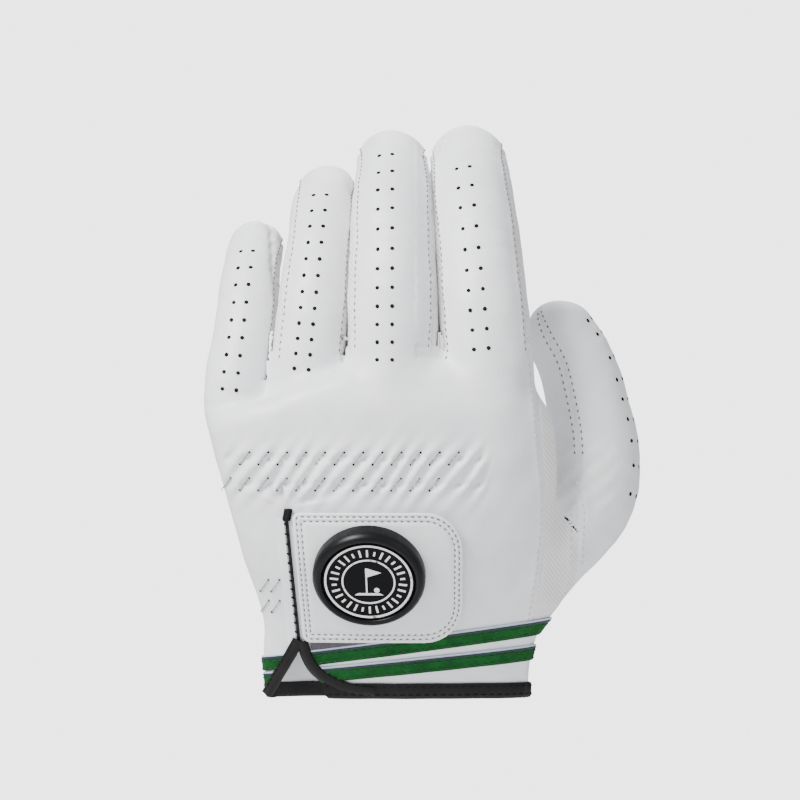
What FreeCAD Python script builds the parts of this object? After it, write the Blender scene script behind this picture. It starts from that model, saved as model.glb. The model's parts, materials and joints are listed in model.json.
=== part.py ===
"""Golf glove for the left hand: sewn hand shell, jointed finger tubes, closure tab and ball marker.

Frame: +Z from the cuff to the fingertips, -Y is the back of the hand, +X is the thumb side.
The origin is the centre of the wrist opening, in the plane of the cuff's rim.
"""
import FreeCAD, Part
import math
import os
from dataclasses import dataclass, field

os.makedirs("parts", exist_ok=True)

V = FreeCAD.Vector

# ---------------------------------------------------------------- driving dimensions, mm and degrees
leather = 0.9                 # wall of the sewn leather, measured level
joint_gap = 0.3               # free space between pieces that move past each other
mitre_spare = 3.0             # extra angle cut away at a bending joint

cuff_width = 81.0
wrist_width = 85.0
heel_width = 93.0
palm_width = 100.0
knuckle_width = 101.0
cuff_depth = 20.0
wrist_depth = 30.0
heel_depth = 38.0
palm_depth = 38.0
knuckle_depth = 34.0
wrist_height = 24.0
heel_height = 45.0
palm_height = 70.0
knuckle_height = 90.0
hand_top = 97.0               # closed end of the hand between the finger bases
below_cuff = 5.0              # the form runs on this far below the rim and is trimmed there

web_gap = 1.0                 # between two neighbouring finger bases
index_knuckle_x = 27.0
stub_lean = -10.0             # tilt of the finger bases, towards the back of the hand

gusset_half_angle = 30.0      # half of the arc that a side gusset spans
ball_opening = 45.0           # half angle of the hole in a joint's ball

knuckle_open_range = (-15.0, 50.0)
middle_joint_range = (-30.0, 55.0)
thumb_base_range = (-30.0, 20.0)
thumb_tip_range = (-50.0, 18.0)
tab_range = (0.0, 150.0)
marker_travel = 18.0

binding_height = 5.0
binding_cloth = 0.9           # thickness of bindings and trim, measured level
binding_fold = 0.8            # binding below the leather's edge
trim_height = 4.8
trim_upper_level = 17.4       # level of the upper trim strip at x = 0
trim_lower_level = 11.2
trim_upper_slope = 0.127
trim_lower_slope = 0.094

slit_top = (-34.0, 57.0)
slit_apex = (-31.0, 16.0)
vent_left = -40.0             # the vent's two corners at the cuff
vent_right = -18.0
slit_gap = 0.8
slit_binding_width = 3.2

tab_right = 19.0
tab_bottom = 18.0
tab_top = 58.0
tab_corner = 11.0
tab_edge_gap = 1.6            # between the sewn anchor and the tab's own edge
anchor_width = 3.0
tab_leather = 1.1
tab_lining_cloth = 0.7
hook_thickness = 0.9
loop_thickness = 0.9
pad_inset = 3.0
loop_bottom = 15.0
loop_left_gap = 4.2           # from the slit's middle to the loop pad

holder_radius = 17.0
holder_rise = 4.4
holder_floor = 1.4            # from the pocket's floor down to the tab, at the middle
holder_x = -9.3
holder_z = 38.8
holder_round = 1.6
marker_radius = 13.5
marker_thickness = 2.0
magnet_radius = 6.0
magnet_thickness = 0.9

elastic_thickness = 0.8
elastic_height = 3.6
knuckle_elastic_ends = (-50.0, 24.0)
knuckle_elastic_levels = (74.3, 66.5)
wrist_elastic_ends = (-42.0, -35.0)
wrist_elastic_level = 32.0

anchor_gap = 1.0              # from the slit's middle to the sewn anchor
anchor_short = 3.0            # the anchor ends this far below the slit's top
tack_half = 1.5               # half width of the bar tack
tack_above = 2.5              # of the slit's top
cut_depth = -8.0              # cuts from the back of the hand stop at this Y
cloth_depth = -2.0            # and for the cloth at the cuff at this one
hinge_rise = 1.2              # of the tab's hinge line above the tab

FAR = 200.0


# ---------------------------------------------------------------- small helpers
def save(name, shape):
    """Write one named piece as a STEP file, as its bare solids."""
    solids = shape.Solids
    if not solids:
        raise ValueError(name + " has no solid")
    piece = solids[0] if len(solids) == 1 else Part.Compound(solids)
    piece.exportStep("parts/" + name + ".step")
    print(name, len(solids), round(sum(s.Volume for s in solids), 1), piece.isValid())


def largest(shape):
    """The largest solid of a shape, without the crumbs that a cut leaves."""
    return max(shape.Solids, key=lambda s: s.Volume)


def outline_prism(points, y_low, y_high):
    """A prism along Y over an outline given as (x, z) points."""
    wire = Part.makePolygon([V(x, y_low, z) for x, z in points + points[:1]])
    return Part.Face(wire).extrude(V(0, y_high - y_low, 0))


def rounded_outline_prism(points, radii, y_low, y_high):
    """A prism along Y over an outline whose corners are arcs of the given radii."""
    count = len(points)
    edges = []
    ends = []
    for i in range(count):
        corner = V(points[i][0], y_low, points[i][1])
        before = V(points[i - 1][0], y_low, points[i - 1][1])
        after = V(points[(i + 1) % count][0], y_low, points[(i + 1) % count][1])
        to_before = (before - corner).normalize()
        to_after = (after - corner).normalize()
        half_turn = to_before.getAngle(to_after) / 2
        radius = radii[i]
        if radius == 0:
            ends.append((corner, corner))
            continue
        reach = radius / math.tan(half_turn)
        middle = (to_before + to_after).normalize()
        centre = corner + middle * (radius / math.sin(half_turn))
        first = corner + to_before * reach
        last = corner + to_after * reach
        edges.append(Part.Arc(first, centre - middle * radius, last).toShape())
        ends.append((first, last))
    for i in range(count):
        edges.append(Part.makeLine(ends[i - 1][1], ends[i][0]))
    wire = Part.Wire(Part.__sortEdges__(edges))
    return Part.Face(wire).extrude(V(0, y_high - y_low, 0))


def level_slab(z_low, z_high):
    """Everything between two levels."""
    return Part.makeBox(2 * FAR, 2 * FAR, z_high - z_low, V(-FAR, -FAR, z_low))


# ---------------------------------------------------------------- the hand form
@dataclass
class Station:
    """One level ellipse of the hand form."""

    z: float
    x: float
    y: float
    width: float
    depth: float


STATIONS = [
    Station(-below_cuff, -0.5, 3.0, cuff_width - 1.0, cuff_depth - 1.0),
    Station(0.0, -0.5, 0.0, cuff_width, cuff_depth),
    Station(wrist_height, 0.5, -13.0, wrist_width, wrist_depth),
    Station(heel_height, -1.5, -24.0, heel_width, heel_depth),
    Station(palm_height, -4.0, -33.0, palm_width, palm_depth),
    Station(knuckle_height, -6.8, -38.0, knuckle_width, knuckle_depth),
    Station(hand_top, -7.5, -39.0, knuckle_width - 5.0, knuckle_depth - 7.0),
]


def hand_form(offset):
    """The solid hand form, grown level by an offset."""
    wires = []
    for s in STATIONS:
        ellipse = Part.Ellipse(V(s.x, s.y, s.z), s.width / 2 + offset, s.depth / 2 + offset)
        wires.append(Part.Wire(ellipse.toShape()))
    return Part.makeLoft(wires, True, False)


def layer(inner_offset, outer_offset):
    """A closed sheet that follows the hand form between two offsets."""
    return hand_form(outer_offset).cut(hand_form(inner_offset))


def side_block(front):
    """The space on the back of the hand (front) or on the palm side of the form's middle line."""
    y_far = -FAR if front else FAR
    line = [(s.y, s.z) for s in STATIONS]
    line[0] = (line[0][0] + 0.6 * below_cuff, -2 * below_cuff)
    line[-1] = (line[-1][0], FAR)
    points = [V(-FAR, y, z) for y, z in line]
    points = [V(-FAR, y_far, line[0][1])] + points + [V(-FAR, y_far, FAR)]
    wire = Part.makePolygon(points + points[:1])
    return Part.Face(wire).extrude(V(2 * FAR, 0, 0))


def back_point(x, z, offset):
    """The point of the grown form's back surface over (x, z)."""
    inside = Part.makeLine(V(x, -FAR, z), V(x, -20.0, z)).common(hand_form(offset))
    return min((v.Point for v in inside.Vertexes), key=lambda p: p.y)


# ---------------------------------------------------------------- jointed tubes
@dataclass
class Segment:
    """One tube of a finger: a ball at its joint, a tapered wall, and an open or a closed end."""

    origin: FreeCAD.Vector
    direction: FreeCAD.Vector
    lateral: FreeCAD.Vector
    length: float
    ball_radius: float
    end_radius: float
    closed: bool
    bend: float                       # from the tube below, at rest
    bend_range: tuple
    parent_direction: FreeCAD.Vector

    def placement(self):
        """Local Z along the tube, X across it towards the thumb, Y towards the palm."""
        palm = self.direction.cross(self.lateral)
        rotation = FreeCAD.Rotation(self.lateral, palm, self.direction, "ZXY")
        return FreeCAD.Placement(self.origin, rotation)

    def profile(self):
        """Half section of the tube's wall in local XZ."""
        ball = self.ball_radius
        end = self.end_radius
        low = math.radians(80.0)
        inner_ball = ball - leather
        inner_end = end - leather
        half = low / 2

        def on_arc(radius, angle):
            return V(radius * math.cos(angle), 0, -radius * math.sin(angle))

        edges = [
            Part.Arc(on_arc(ball, low), on_arc(ball, half), V(ball, 0, 0)).toShape(),
            Part.makeLine(V(ball, 0, 0), V(end, 0, self.length)),
            Part.makeLine(V(inner_end, 0, self.length), V(inner_ball, 0, 0)),
            Part.Arc(V(inner_ball, 0, 0), on_arc(inner_ball, half), on_arc(inner_ball, low)).toShape(),
            Part.makeLine(on_arc(inner_ball, low), on_arc(ball, low)),
        ]
        if self.closed:
            top = self.length + end
            rise = math.sqrt(0.5)
            outer_mid = V(end * rise, 0, self.length + end * rise)
            inner_mid = V(inner_end * rise, 0, self.length + inner_end * rise)
            edges.append(Part.Arc(V(end, 0, self.length), outer_mid, V(0, 0, top)).toShape())
            edges.append(Part.makeLine(V(0, 0, top), V(0, 0, top - leather)))
            inner_top = V(0, 0, top - leather)
            edges.append(Part.Arc(inner_top, inner_mid, V(inner_end, 0, self.length)).toShape())
        else:
            edges.append(Part.makeLine(V(end, 0, self.length), V(inner_end, 0, self.length)))
        return Part.Face(Part.Wire(Part.__sortEdges__(edges)))

    def opening_cut(self):
        """The space cut from the ball so that the tube below stays open at every bend."""
        middle = sum(self.bend_range) / 2
        turn = self.bend - middle
        below = FreeCAD.Rotation(self.lateral * -1, turn).multVec(self.parent_direction * -1)
        start = self.origin + below * (self.ball_radius * math.cos(math.radians(ball_opening)))
        return Part.makeCylinder(self.ball_radius, self.ball_radius, start, below)

    def sector(self, start, stop):
        """The tube's wall between two angles, counted from the thumb side towards the palm."""
        face = self.profile()
        face.rotate(V(0, 0, 0), V(0, 0, 1), start)
        wall = face.revolve(V(0, 0, 0), V(0, 0, 1), stop - start)
        wall.Placement = self.placement()
        return wall.cut(self.opening_cut())


def joint_space(child, reach, width):
    """The wedge above a tube's end that its child needs in order to bend both ways."""
    low, high = child.bend_range
    palm_angle = math.radians(high / 2 + mitre_spare)
    back_angle = math.radians(max(-low / 2, 0) + mitre_spare)
    points = [
        V(0, 0, 0),
        V(0, reach, -reach * math.tan(palm_angle)),
        V(0, reach, reach),
        V(0, -reach, reach),
        V(0, -reach, -reach * math.tan(back_angle)),
    ]
    wedge = Part.Face(Part.makePolygon(points + points[:1])).extrude(V(2 * width, 0, 0))
    wedge.translate(V(-width, 0, 0))
    palm = child.parent_direction.cross(child.lateral)
    rotation = FreeCAD.Rotation(child.lateral, palm, child.parent_direction, "ZXY")
    wedge.Placement = FreeCAD.Placement(child.origin, rotation).multiply(wedge.Placement)
    return wedge


@dataclass
class Finger:
    """One finger: its base on the hand and the two tubes that bend."""

    name: str
    knuckle: FreeCAD.Vector
    lean: float                       # towards the thumb, in the XZ plane
    base_radius: float                # outside of the base on the hand
    middle_radius: float              # outside of the first tube at its far end
    tip_radius: float
    first_length: float
    first_tilt: float                 # from upright towards the palm
    tip_length: float
    tip_tilt: float
    base_length: float                # of the base on the hand, below the knuckle
    has_outer_gusset: bool = True
    segments: list = field(default_factory=list)

    def direction(self, tilt):
        """Unit vector at a tilt towards the palm, in the finger's own plane."""
        lean = math.radians(self.lean)
        tilt = math.radians(tilt)
        return V(math.sin(lean) * math.cos(tilt), math.sin(tilt), math.cos(lean) * math.cos(tilt))

    def lateral(self):
        """Unit vector across the finger, towards the thumb."""
        lean = math.radians(self.lean)
        return V(math.cos(lean), 0, -math.sin(lean))

    def build_segments(self):
        """The tube between the two joints, and the tube with the fingertip."""
        first_bend = self.first_tilt - stub_lean
        tip_bend = self.tip_tilt - self.first_tilt
        first_ball = self.base_radius - leather - joint_gap
        tip_ball = self.middle_radius - leather - joint_gap
        first_direction = self.direction(self.first_tilt)
        middle_joint = self.knuckle + first_direction * self.first_length
        first = Segment(
            origin=self.knuckle, direction=first_direction, lateral=self.lateral(),
            length=self.first_length, ball_radius=first_ball, end_radius=self.middle_radius,
            closed=False, bend=first_bend,
            bend_range=(first_bend + knuckle_open_range[0], first_bend + knuckle_open_range[1]),
            parent_direction=self.direction(stub_lean))
        tip = Segment(
            origin=middle_joint, direction=self.direction(self.tip_tilt), lateral=self.lateral(),
            length=self.tip_length, ball_radius=tip_ball, end_radius=self.tip_radius,
            closed=True, bend=tip_bend,
            bend_range=(tip_bend + middle_joint_range[0], tip_bend + middle_joint_range[1]),
            parent_direction=first_direction)
        self.segments = [first, tip]

    def base_solid(self, inner):
        """The finger's base on the hand, outside or hollow."""
        radius = self.base_radius - (leather if inner else 0)
        length = self.base_length + (self.base_radius if inner else 0)
        axis = self.direction(stub_lean)
        start = self.knuckle - axis * self.base_length
        return Part.makeCylinder(radius, length, start, axis).fuse(Part.makeSphere(radius, start))

    def sectors(self):
        """Names and angles of the pieces sewn into each tube."""
        g = gusset_half_angle
        if self.has_outer_gusset:
            return [("back", 180 + g, 360 - g), ("palm", g, 180 - g),
                    ("gusset_inner", 180 - g, 180 + g), ("gusset_outer", -g, g)]
        return [("back", 180, 360 - g), ("palm", g, 180), ("gusset", -g, g)]


def place_fingers():
    """The four fingers, each next to the one before with the web gap between their bases."""
    specs = [
        ("index", -39.0, 99.0, -5.5, 14.2, 12.2, 10.6, 39.0, 9.0, 35.0, 45.0, 20.0, True),
        ("middle", -41.0, 101.0, 0.0, 14.0, 11.9, 9.8, 38.5, 9.0, 35.5, 49.6, 22.0, True),
        ("ring", -37.0, 97.0, 5.5, 11.3, 9.5, 8.3, 36.5, 9.5, 30.5, 52.0, 18.0, True),
        ("little", -31.0, 90.0, 6.0, 9.8, 8.1, 7.6, 27.5, 10.5, 26.3, 43.0, 12.0, False),
    ]
    row = []
    x = index_knuckle_x
    for name, y, z, lean, base, *shape in specs:
        if row:
            last = row[-1]
            apart = last.base_radius + base + web_gap
            x = last.knuckle.x - math.sqrt(apart ** 2 - (y - last.knuckle.y) ** 2)
        finger = Finger(name, V(x, y, z), lean, base, *shape)
        finger.build_segments()
        row.append(finger)
    return row


# ---------------------------------------------------------------- thumb
thumb_root = V(38.0, -12.0, 38.0)
thumb_joint = V(59.0, -12.0, 66.0)
thumb_middle = V(57.0, -10.0, 93.0)
thumb_tip = V(49.5, -10.0, 111.0)
thumb_back = V(0.9, -0.4, 0.0)        # the way the thumb's back faces
thumb_root_radius = 17.5
thumb_base_radius = 14.0
thumb_middle_radius = 12.4
thumb_tip_radius = 10.4


def thumb_segments():
    """The thumb's two tubes; both bend about the same direction."""
    base_way = (thumb_joint - thumb_root).normalize()
    first_way = (thumb_middle - thumb_joint).normalize()
    tip_way = (thumb_tip - thumb_middle).normalize()
    across = first_way.cross(thumb_back * -1).normalize() * -1
    first_lateral = across
    first_bend = math.degrees(base_way.getAngle(first_way))
    tip_bend = math.degrees(first_way.getAngle(tip_way))
    tip_lateral = (across - tip_way * across.dot(tip_way)).normalize()
    parent = (base_way - first_lateral * base_way.dot(first_lateral)).normalize()
    first = Segment(
        origin=thumb_joint, direction=first_way, lateral=first_lateral,
        length=(thumb_middle - thumb_joint).Length,
        ball_radius=thumb_base_radius - leather - joint_gap, end_radius=thumb_middle_radius,
        closed=False, bend=first_bend,
        bend_range=(first_bend - thumb_base_range[1], first_bend - thumb_base_range[0]),
        parent_direction=parent)
    parent_tip = (first_way - tip_lateral * first_way.dot(tip_lateral)).normalize()
    tip = Segment(
        origin=thumb_middle, direction=tip_way, lateral=tip_lateral,
        length=(thumb_tip - thumb_middle).Length,
        ball_radius=thumb_middle_radius - leather - joint_gap, end_radius=thumb_tip_radius,
        closed=True, bend=tip_bend,
        bend_range=(tip_bend - thumb_tip_range[1], tip_bend - thumb_tip_range[0]),
        parent_direction=parent_tip)
    return [first, tip]


def thumb_base_solid(inner):
    """The thumb's set-in base with its round root, outside or hollow."""
    inset = leather if inner else 0
    way = (thumb_joint - thumb_root).normalize()
    length = (thumb_joint - thumb_root).Length
    cone = Part.makeCone(thumb_root_radius - inset, thumb_base_radius - inset, length, thumb_root, way)
    solid = cone.fuse(Part.makeSphere(thumb_root_radius - inset, thumb_root))
    if inner:
        solid = solid.fuse(Part.makeCylinder(thumb_base_radius - inset, thumb_base_radius, thumb_joint, way))
    return solid


# ---------------------------------------------------------------- the hand's panels
def hollow_hand(finger_list):
    """The hand's leather wall with its finger bases, open at the cuff and at each finger."""
    outside = hand_form(0)
    inside = hand_form(-leather).common(level_slab(-FAR, hand_top - leather))
    for finger in finger_list:
        outside = outside.fuse(finger.base_solid(False))
        inside = inside.fuse(finger.base_solid(True))
    wall = outside.cut(inside).cut(thumb_base_solid(True))
    for finger in finger_list:
        joint = finger.segments[0]
        space = joint_space(joint, finger.base_radius + 1.5, finger.base_radius + joint_gap)
        wall = wall.cut(space)
    return wall.common(level_slab(binding_fold, FAR))


def front_block(finger_list):
    """The space on the back of the hand; above the palm it follows the knuckles."""
    lower = side_block(True).common(level_slab(-2 * below_cuff, knuckle_height - 5.0))
    line = [(f.knuckle.x, f.knuckle.y) for f in finger_list]
    line = [(FAR, line[0][1])] + line + [(-FAR, line[-1][1]), (-FAR, -FAR), (FAR, -FAR)]
    level = knuckle_height - 5.0
    wire = Part.makePolygon([V(x, y, level) for x, y in line + line[:1]])
    return lower.fuse(Part.Face(wire).extrude(V(0, 0, FAR)))


def vent_outline(grow):
    """The V-shaped vent at the cuff, grown sideways by the width of its bindings."""
    low = -2.0
    return [(slit_apex[0], slit_apex[1] + grow), (vent_right + grow, low), (vent_left - grow, low)]


def slit_cut():
    """The slit between the tab's anchor and the loop pad, and the vent below it."""
    half = slit_gap / 2
    line = [(slit_top[0] - half, slit_top[1]), (slit_top[0] + half, slit_top[1]),
            (slit_apex[0] + half, slit_apex[1] - 1), (slit_apex[0] - half, slit_apex[1] - 1)]
    return outline_prism(line, -FAR, cut_depth).fuse(outline_prism(vent_outline(0), -FAR, cloth_depth))


def strip_region():
    """The narrow side panel between the index seam and the thumb."""
    seam = [(38.0, -2.0), (40.5, 25.0), (42.6, 40.0), (44.0, 52.0), (44.0, 64.0), (42.0, 76.0),
            (41.0, 91.0), (40.5, FAR), (FAR, FAR), (FAR, -2.0)]
    return outline_prism(seam, -FAR, FAR)


def build_panels(finger_list):
    """Back, palm, side strip and thumb base, cut from one wall so that they meet at the seams."""
    wall = hollow_hand(finger_list)
    front = front_block(finger_list)
    back = wall.common(front).cut(slit_cut())
    strip = strip_region()
    save("back_panel", largest(back.cut(strip)))
    save("index_side_strip", largest(back.common(strip)))
    save("palm_panel", largest(wall.cut(front)))
    base = thumb_base_solid(False).cut(thumb_base_solid(True)).cut(hand_form(0))
    space = joint_space(thumb[0], thumb_base_radius + 1.5, thumb_base_radius + 1.0)
    save("thumb_base", largest(base.cut(space)))


def trim_slab(level, slope):
    """The tilted band that a trim strip follows round the wrist."""
    half = trim_height / 2
    ends = [(-FAR, level - slope * FAR), (FAR, level + slope * FAR)]
    points = [(x, z - half) for x, z in ends] + [(x, z + half) for x, z in reversed(ends)]
    return outline_prism(points, -FAR, FAR)


def binding_side(side):
    """The strip outline along one edge of the vent; side is -1 on the left."""
    corner = vent_left if side < 0 else vent_right
    top = slit_apex
    wide = slit_binding_width * side
    tip = (top[0], top[1] + slit_binding_width)
    return [top, (corner, 0.0), (corner + wide, 0.0), tip]


def build_trim():
    """Bindings, trim strips, pad, anchor and elastics: cloth that follows the hand form."""
    cloth = layer(0, binding_cloth)
    inner_cloth = layer(-leather - binding_cloth, binding_cloth)
    vent = outline_prism(vent_outline(0), -FAR, cloth_depth)
    sides = {}
    for name, side in (("slit_binding_left", -1), ("slit_binding_right", 1)):
        sides[name] = outline_prism(binding_side(side), -FAR, cloth_depth)
        save(name, largest(cloth.common(sides[name])))
    both = vent.fuse(list(sides.values()))
    fold = inner_cloth.common(level_slab(0.0, binding_height))
    wall = layer(-leather, 0).common(level_slab(binding_fold, binding_height + 1))
    save("cuff_binding", largest(fold.cut(wall).cut(both)))
    thumb_space = thumb_base_solid(False)
    for name, level, slope in (("green_strip_upper", trim_upper_level, trim_upper_slope),
                               ("green_strip_lower", trim_lower_level, trim_lower_slope)):
        strip = cloth.common(trim_slab(level, slope)).cut(both).cut(thumb_space)
        save(name, largest(strip.cut(level_slab(-FAR, binding_height))))
    pad = [(slit_top[0] + loop_left_gap, tab_top - pad_inset), (tab_right - tab_corner, tab_top - pad_inset),
           (tab_right - tab_corner, loop_bottom), (slit_apex[0] + loop_left_gap, loop_bottom)]
    strips = trim_slab(trim_upper_level, trim_upper_slope)
    loop = layer(0, loop_thickness).common(outline_prism(pad, -FAR, -12.0)).cut(strips)
    save("loop_pad", largest(loop))
    top = (slit_top[0] - anchor_gap, slit_top[1] - anchor_short)
    low = (slit_apex[0] - anchor_gap, tab_bottom + 2)
    anchor = [top, low, (low[0] - anchor_width, low[1]), (top[0] - anchor_width, top[1])]
    anchor_block = outline_prism(anchor, -FAR, cut_depth)
    save("tab_anchor", largest(cloth.common(anchor_block)))
    left, right = slit_top[0] - tack_half, slit_top[0] + tack_half
    low, high = slit_top[1] - tack_half, slit_top[1] + tack_above
    tack = outline_prism([(left, low), (right, low), (right, high), (left, high)], -FAR, cut_depth)
    save("slit_bar_tack", largest(cloth.common(tack).cut(anchor_block)))
    lining = layer(-leather - elastic_thickness, -leather)
    bands = (("knuckle_elastic_upper", knuckle_elastic_ends, knuckle_elastic_levels[0]),
             ("knuckle_elastic_lower", knuckle_elastic_ends, knuckle_elastic_levels[1]),
             ("wrist_elastic", wrist_elastic_ends, wrist_elastic_level))
    for name, (left, right), level in bands:
        half = elastic_height / 2
        box = [(left, level - half), (right, level - half), (right, level + half), (left, level + half)]
        save(name, largest(lining.common(outline_prism(box, -FAR, STATIONS[3].y))))


# ---------------------------------------------------------------- closure tab and ball marker
hook_inner = loop_thickness + joint_gap
lining_inner = hook_inner + hook_thickness
leather_inner = lining_inner + tab_lining_cloth
tab_outer_level = leather_inner + tab_leather


def tab_outline(inset):
    """The tab's outline: straight along the slit, round at its free end."""
    left = slit_top[0] + tab_edge_gap + inset
    left_low = slit_apex[0] + tab_edge_gap + inset
    points = [(left, tab_top - inset), (tab_right - inset, tab_top - inset),
              (tab_right - inset, tab_bottom + inset), (left_low, tab_bottom + inset)]
    corner = tab_corner - inset
    return rounded_outline_prism(points, [1.0, corner, corner, 1.0], -FAR, -12.0)


def badge_axis():
    """The point on the tab under the badge's middle, and the way out of the holder."""
    step = 2.0
    middle = back_point(holder_x, holder_z, tab_outer_level)
    across = back_point(holder_x + step, holder_z, tab_outer_level) - middle
    along = back_point(holder_x, holder_z + step, tab_outer_level) - middle
    return middle, across.cross(along).normalize()


def tab_hinge():
    """Two points of the line that the tab peels about, just outside the tab."""
    level = tab_outer_level + hinge_rise
    top = back_point(slit_top[0] + tab_edge_gap / 2, tab_top, level)
    low = back_point(slit_apex[0] + tab_edge_gap / 2, tab_bottom, level)
    return top, low


def build_tab():
    """Tab layers from the hand outwards, the rubber holder, its magnet and the marker."""
    hook = layer(hook_inner, lining_inner).common(tab_outline(pad_inset))
    save("hook_pad", largest(hook))
    save("tab_lining", largest(layer(lining_inner, leather_inner).common(tab_outline(0.6))))
    save("tab_outer", largest(layer(leather_inner, tab_outer_level).common(tab_outline(0.0))))
    middle, out = badge_axis()
    deep = 8.0
    body = Part.makeCylinder(holder_radius, deep + holder_rise, middle - out * deep, out)
    top_edges = [e for e in body.Edges
                 if (e.CenterOfMass - (middle + out * holder_rise)).Length < 0.01]
    body = body.makeFillet(holder_round, top_edges)
    floor = middle + out * holder_floor
    body = body.cut(Part.makeCylinder(marker_radius + joint_gap, FAR, floor, out))
    seat = Part.makeCylinder(magnet_radius, FAR, floor - out * magnet_thickness, out)
    body = body.cut(seat).cut(hand_form(tab_outer_level))
    save("badge_holder", largest(body))
    magnet = Part.makeCylinder(magnet_radius, magnet_thickness, floor - out * magnet_thickness, out)
    save("holder_magnet", magnet)
    disc = Part.makeCylinder(marker_radius, marker_thickness, floor + out * joint_gap, out)
    save("ball_marker", disc.makeFillet(0.4, [disc.Edges[0], disc.Edges[2]]))


# ---------------------------------------------------------------- fingers
def build_finger(finger):
    """Every sewn piece of one finger's two tubes."""
    first, tip = finger.segments
    space = joint_space(tip, finger.middle_radius + 1.5, finger.middle_radius + 2.0)
    for name, start, stop in finger.sectors():
        save(finger.name + "_first_" + name, largest(first.sector(start, stop).cut(space)))
        save(finger.name + "_tip_" + name, largest(tip.sector(start, stop)))


def build_thumb():
    """The thumb's two tubes, each of a back and a palm piece."""
    first, tip = thumb
    space = joint_space(tip, thumb_middle_radius + 1.5, thumb_middle_radius + 2.0)
    for name, start, stop in (("back", 180, 360), ("palm", 0, 180)):
        save("thumb_first_" + name, largest(first.sector(start, stop).cut(space)))
        save("thumb_tip_" + name, largest(tip.sector(start, stop)))


fingers = place_fingers()
thumb = thumb_segments()
build_panels(fingers)
build_trim()
build_tab()
for one_finger in fingers:
    build_finger(one_finger)
build_thumb()
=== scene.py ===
"""Golf glove for the left hand: the finished leather, trim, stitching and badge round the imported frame."""
import json
import logging
import math
from dataclasses import dataclass, field
from enum import Enum
from typing import Callable, Optional, Sequence

import bmesh
import bpy
import numpy as np
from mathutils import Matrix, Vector


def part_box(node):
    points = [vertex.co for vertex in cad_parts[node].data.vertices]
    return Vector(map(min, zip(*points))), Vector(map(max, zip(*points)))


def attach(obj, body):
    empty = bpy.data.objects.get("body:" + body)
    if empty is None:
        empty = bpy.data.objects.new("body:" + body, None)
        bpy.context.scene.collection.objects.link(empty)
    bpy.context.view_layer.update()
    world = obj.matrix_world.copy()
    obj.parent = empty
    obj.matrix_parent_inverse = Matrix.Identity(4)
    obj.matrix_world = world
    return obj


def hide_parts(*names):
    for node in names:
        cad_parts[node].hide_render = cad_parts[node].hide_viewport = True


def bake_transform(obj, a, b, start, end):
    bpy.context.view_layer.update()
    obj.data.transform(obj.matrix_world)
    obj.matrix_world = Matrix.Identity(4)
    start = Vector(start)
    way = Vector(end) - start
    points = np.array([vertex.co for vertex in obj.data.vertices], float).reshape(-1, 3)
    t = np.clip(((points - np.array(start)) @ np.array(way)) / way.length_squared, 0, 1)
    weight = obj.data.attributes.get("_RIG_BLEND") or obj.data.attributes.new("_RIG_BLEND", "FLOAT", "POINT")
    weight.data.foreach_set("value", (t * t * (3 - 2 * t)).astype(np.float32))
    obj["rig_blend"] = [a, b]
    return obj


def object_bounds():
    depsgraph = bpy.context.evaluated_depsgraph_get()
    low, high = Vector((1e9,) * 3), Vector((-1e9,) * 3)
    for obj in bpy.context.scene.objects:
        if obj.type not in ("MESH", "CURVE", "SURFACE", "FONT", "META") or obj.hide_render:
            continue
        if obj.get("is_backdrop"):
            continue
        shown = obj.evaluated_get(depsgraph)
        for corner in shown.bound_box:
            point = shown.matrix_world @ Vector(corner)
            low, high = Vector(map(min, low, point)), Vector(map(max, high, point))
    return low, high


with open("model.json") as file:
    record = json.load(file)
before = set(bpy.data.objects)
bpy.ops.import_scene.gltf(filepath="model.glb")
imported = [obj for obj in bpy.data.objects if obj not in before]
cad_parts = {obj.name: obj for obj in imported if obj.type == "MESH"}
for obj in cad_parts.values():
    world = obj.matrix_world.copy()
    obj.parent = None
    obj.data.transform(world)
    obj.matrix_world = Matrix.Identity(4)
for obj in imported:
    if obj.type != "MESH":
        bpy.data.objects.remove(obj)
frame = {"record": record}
cad_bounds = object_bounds()

MM = 0.001
LOG = logging.getLogger("glove")
Array = np.ndarray


# ---- frame lookups
def joint_place(name: str) -> Array:
    """Place of a joint's axis in millimetres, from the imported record."""
    for joint in frame["record"]["behaviour"]["joints"]:
        if joint["name"] == name:
            return np.array(joint["pos_m"]) / MM
    raise KeyError(name)


def joint_axis(name: str) -> Array:
    """Unit axis of a joint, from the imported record."""
    for joint in frame["record"]["behaviour"]["joints"]:
        if joint["name"] == name:
            axis = np.array(joint["axis"])
            return axis / np.linalg.norm(axis)
    raise KeyError(name)


def node_box(name: str) -> tuple[Array, Array]:
    """Lowest and highest corner of a CAD node, in millimetres."""
    low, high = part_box(name)
    return np.array(low) / MM, np.array(high) / MM


# ---- small maths
def unit(vectors: Array) -> Array:
    """Vectors scaled to length one, along the last axis."""
    return vectors / np.maximum(np.linalg.norm(vectors, axis=-1, keepdims=True), 1e-9)


def smooth_min(a: Array, b: Array, width: float) -> Array:
    """Smaller of two fields, rounded where they come within a width of each other."""
    h = np.maximum(width - np.abs(a - b), 0.0) / width
    return np.minimum(a, b) - h * h * width / 4


def bell(x: Array, width: float) -> Array:
    """A bump of height one at zero that fades over a width."""
    return np.exp(-(x / width) ** 2)


def step_up(x: Array, low: float, high: float) -> Array:
    """Smooth ramp from 0 at low to 1 at high."""
    t = np.clip((x - low) / (high - low), 0, 1)
    return t * t * (3 - 2 * t)


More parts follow.
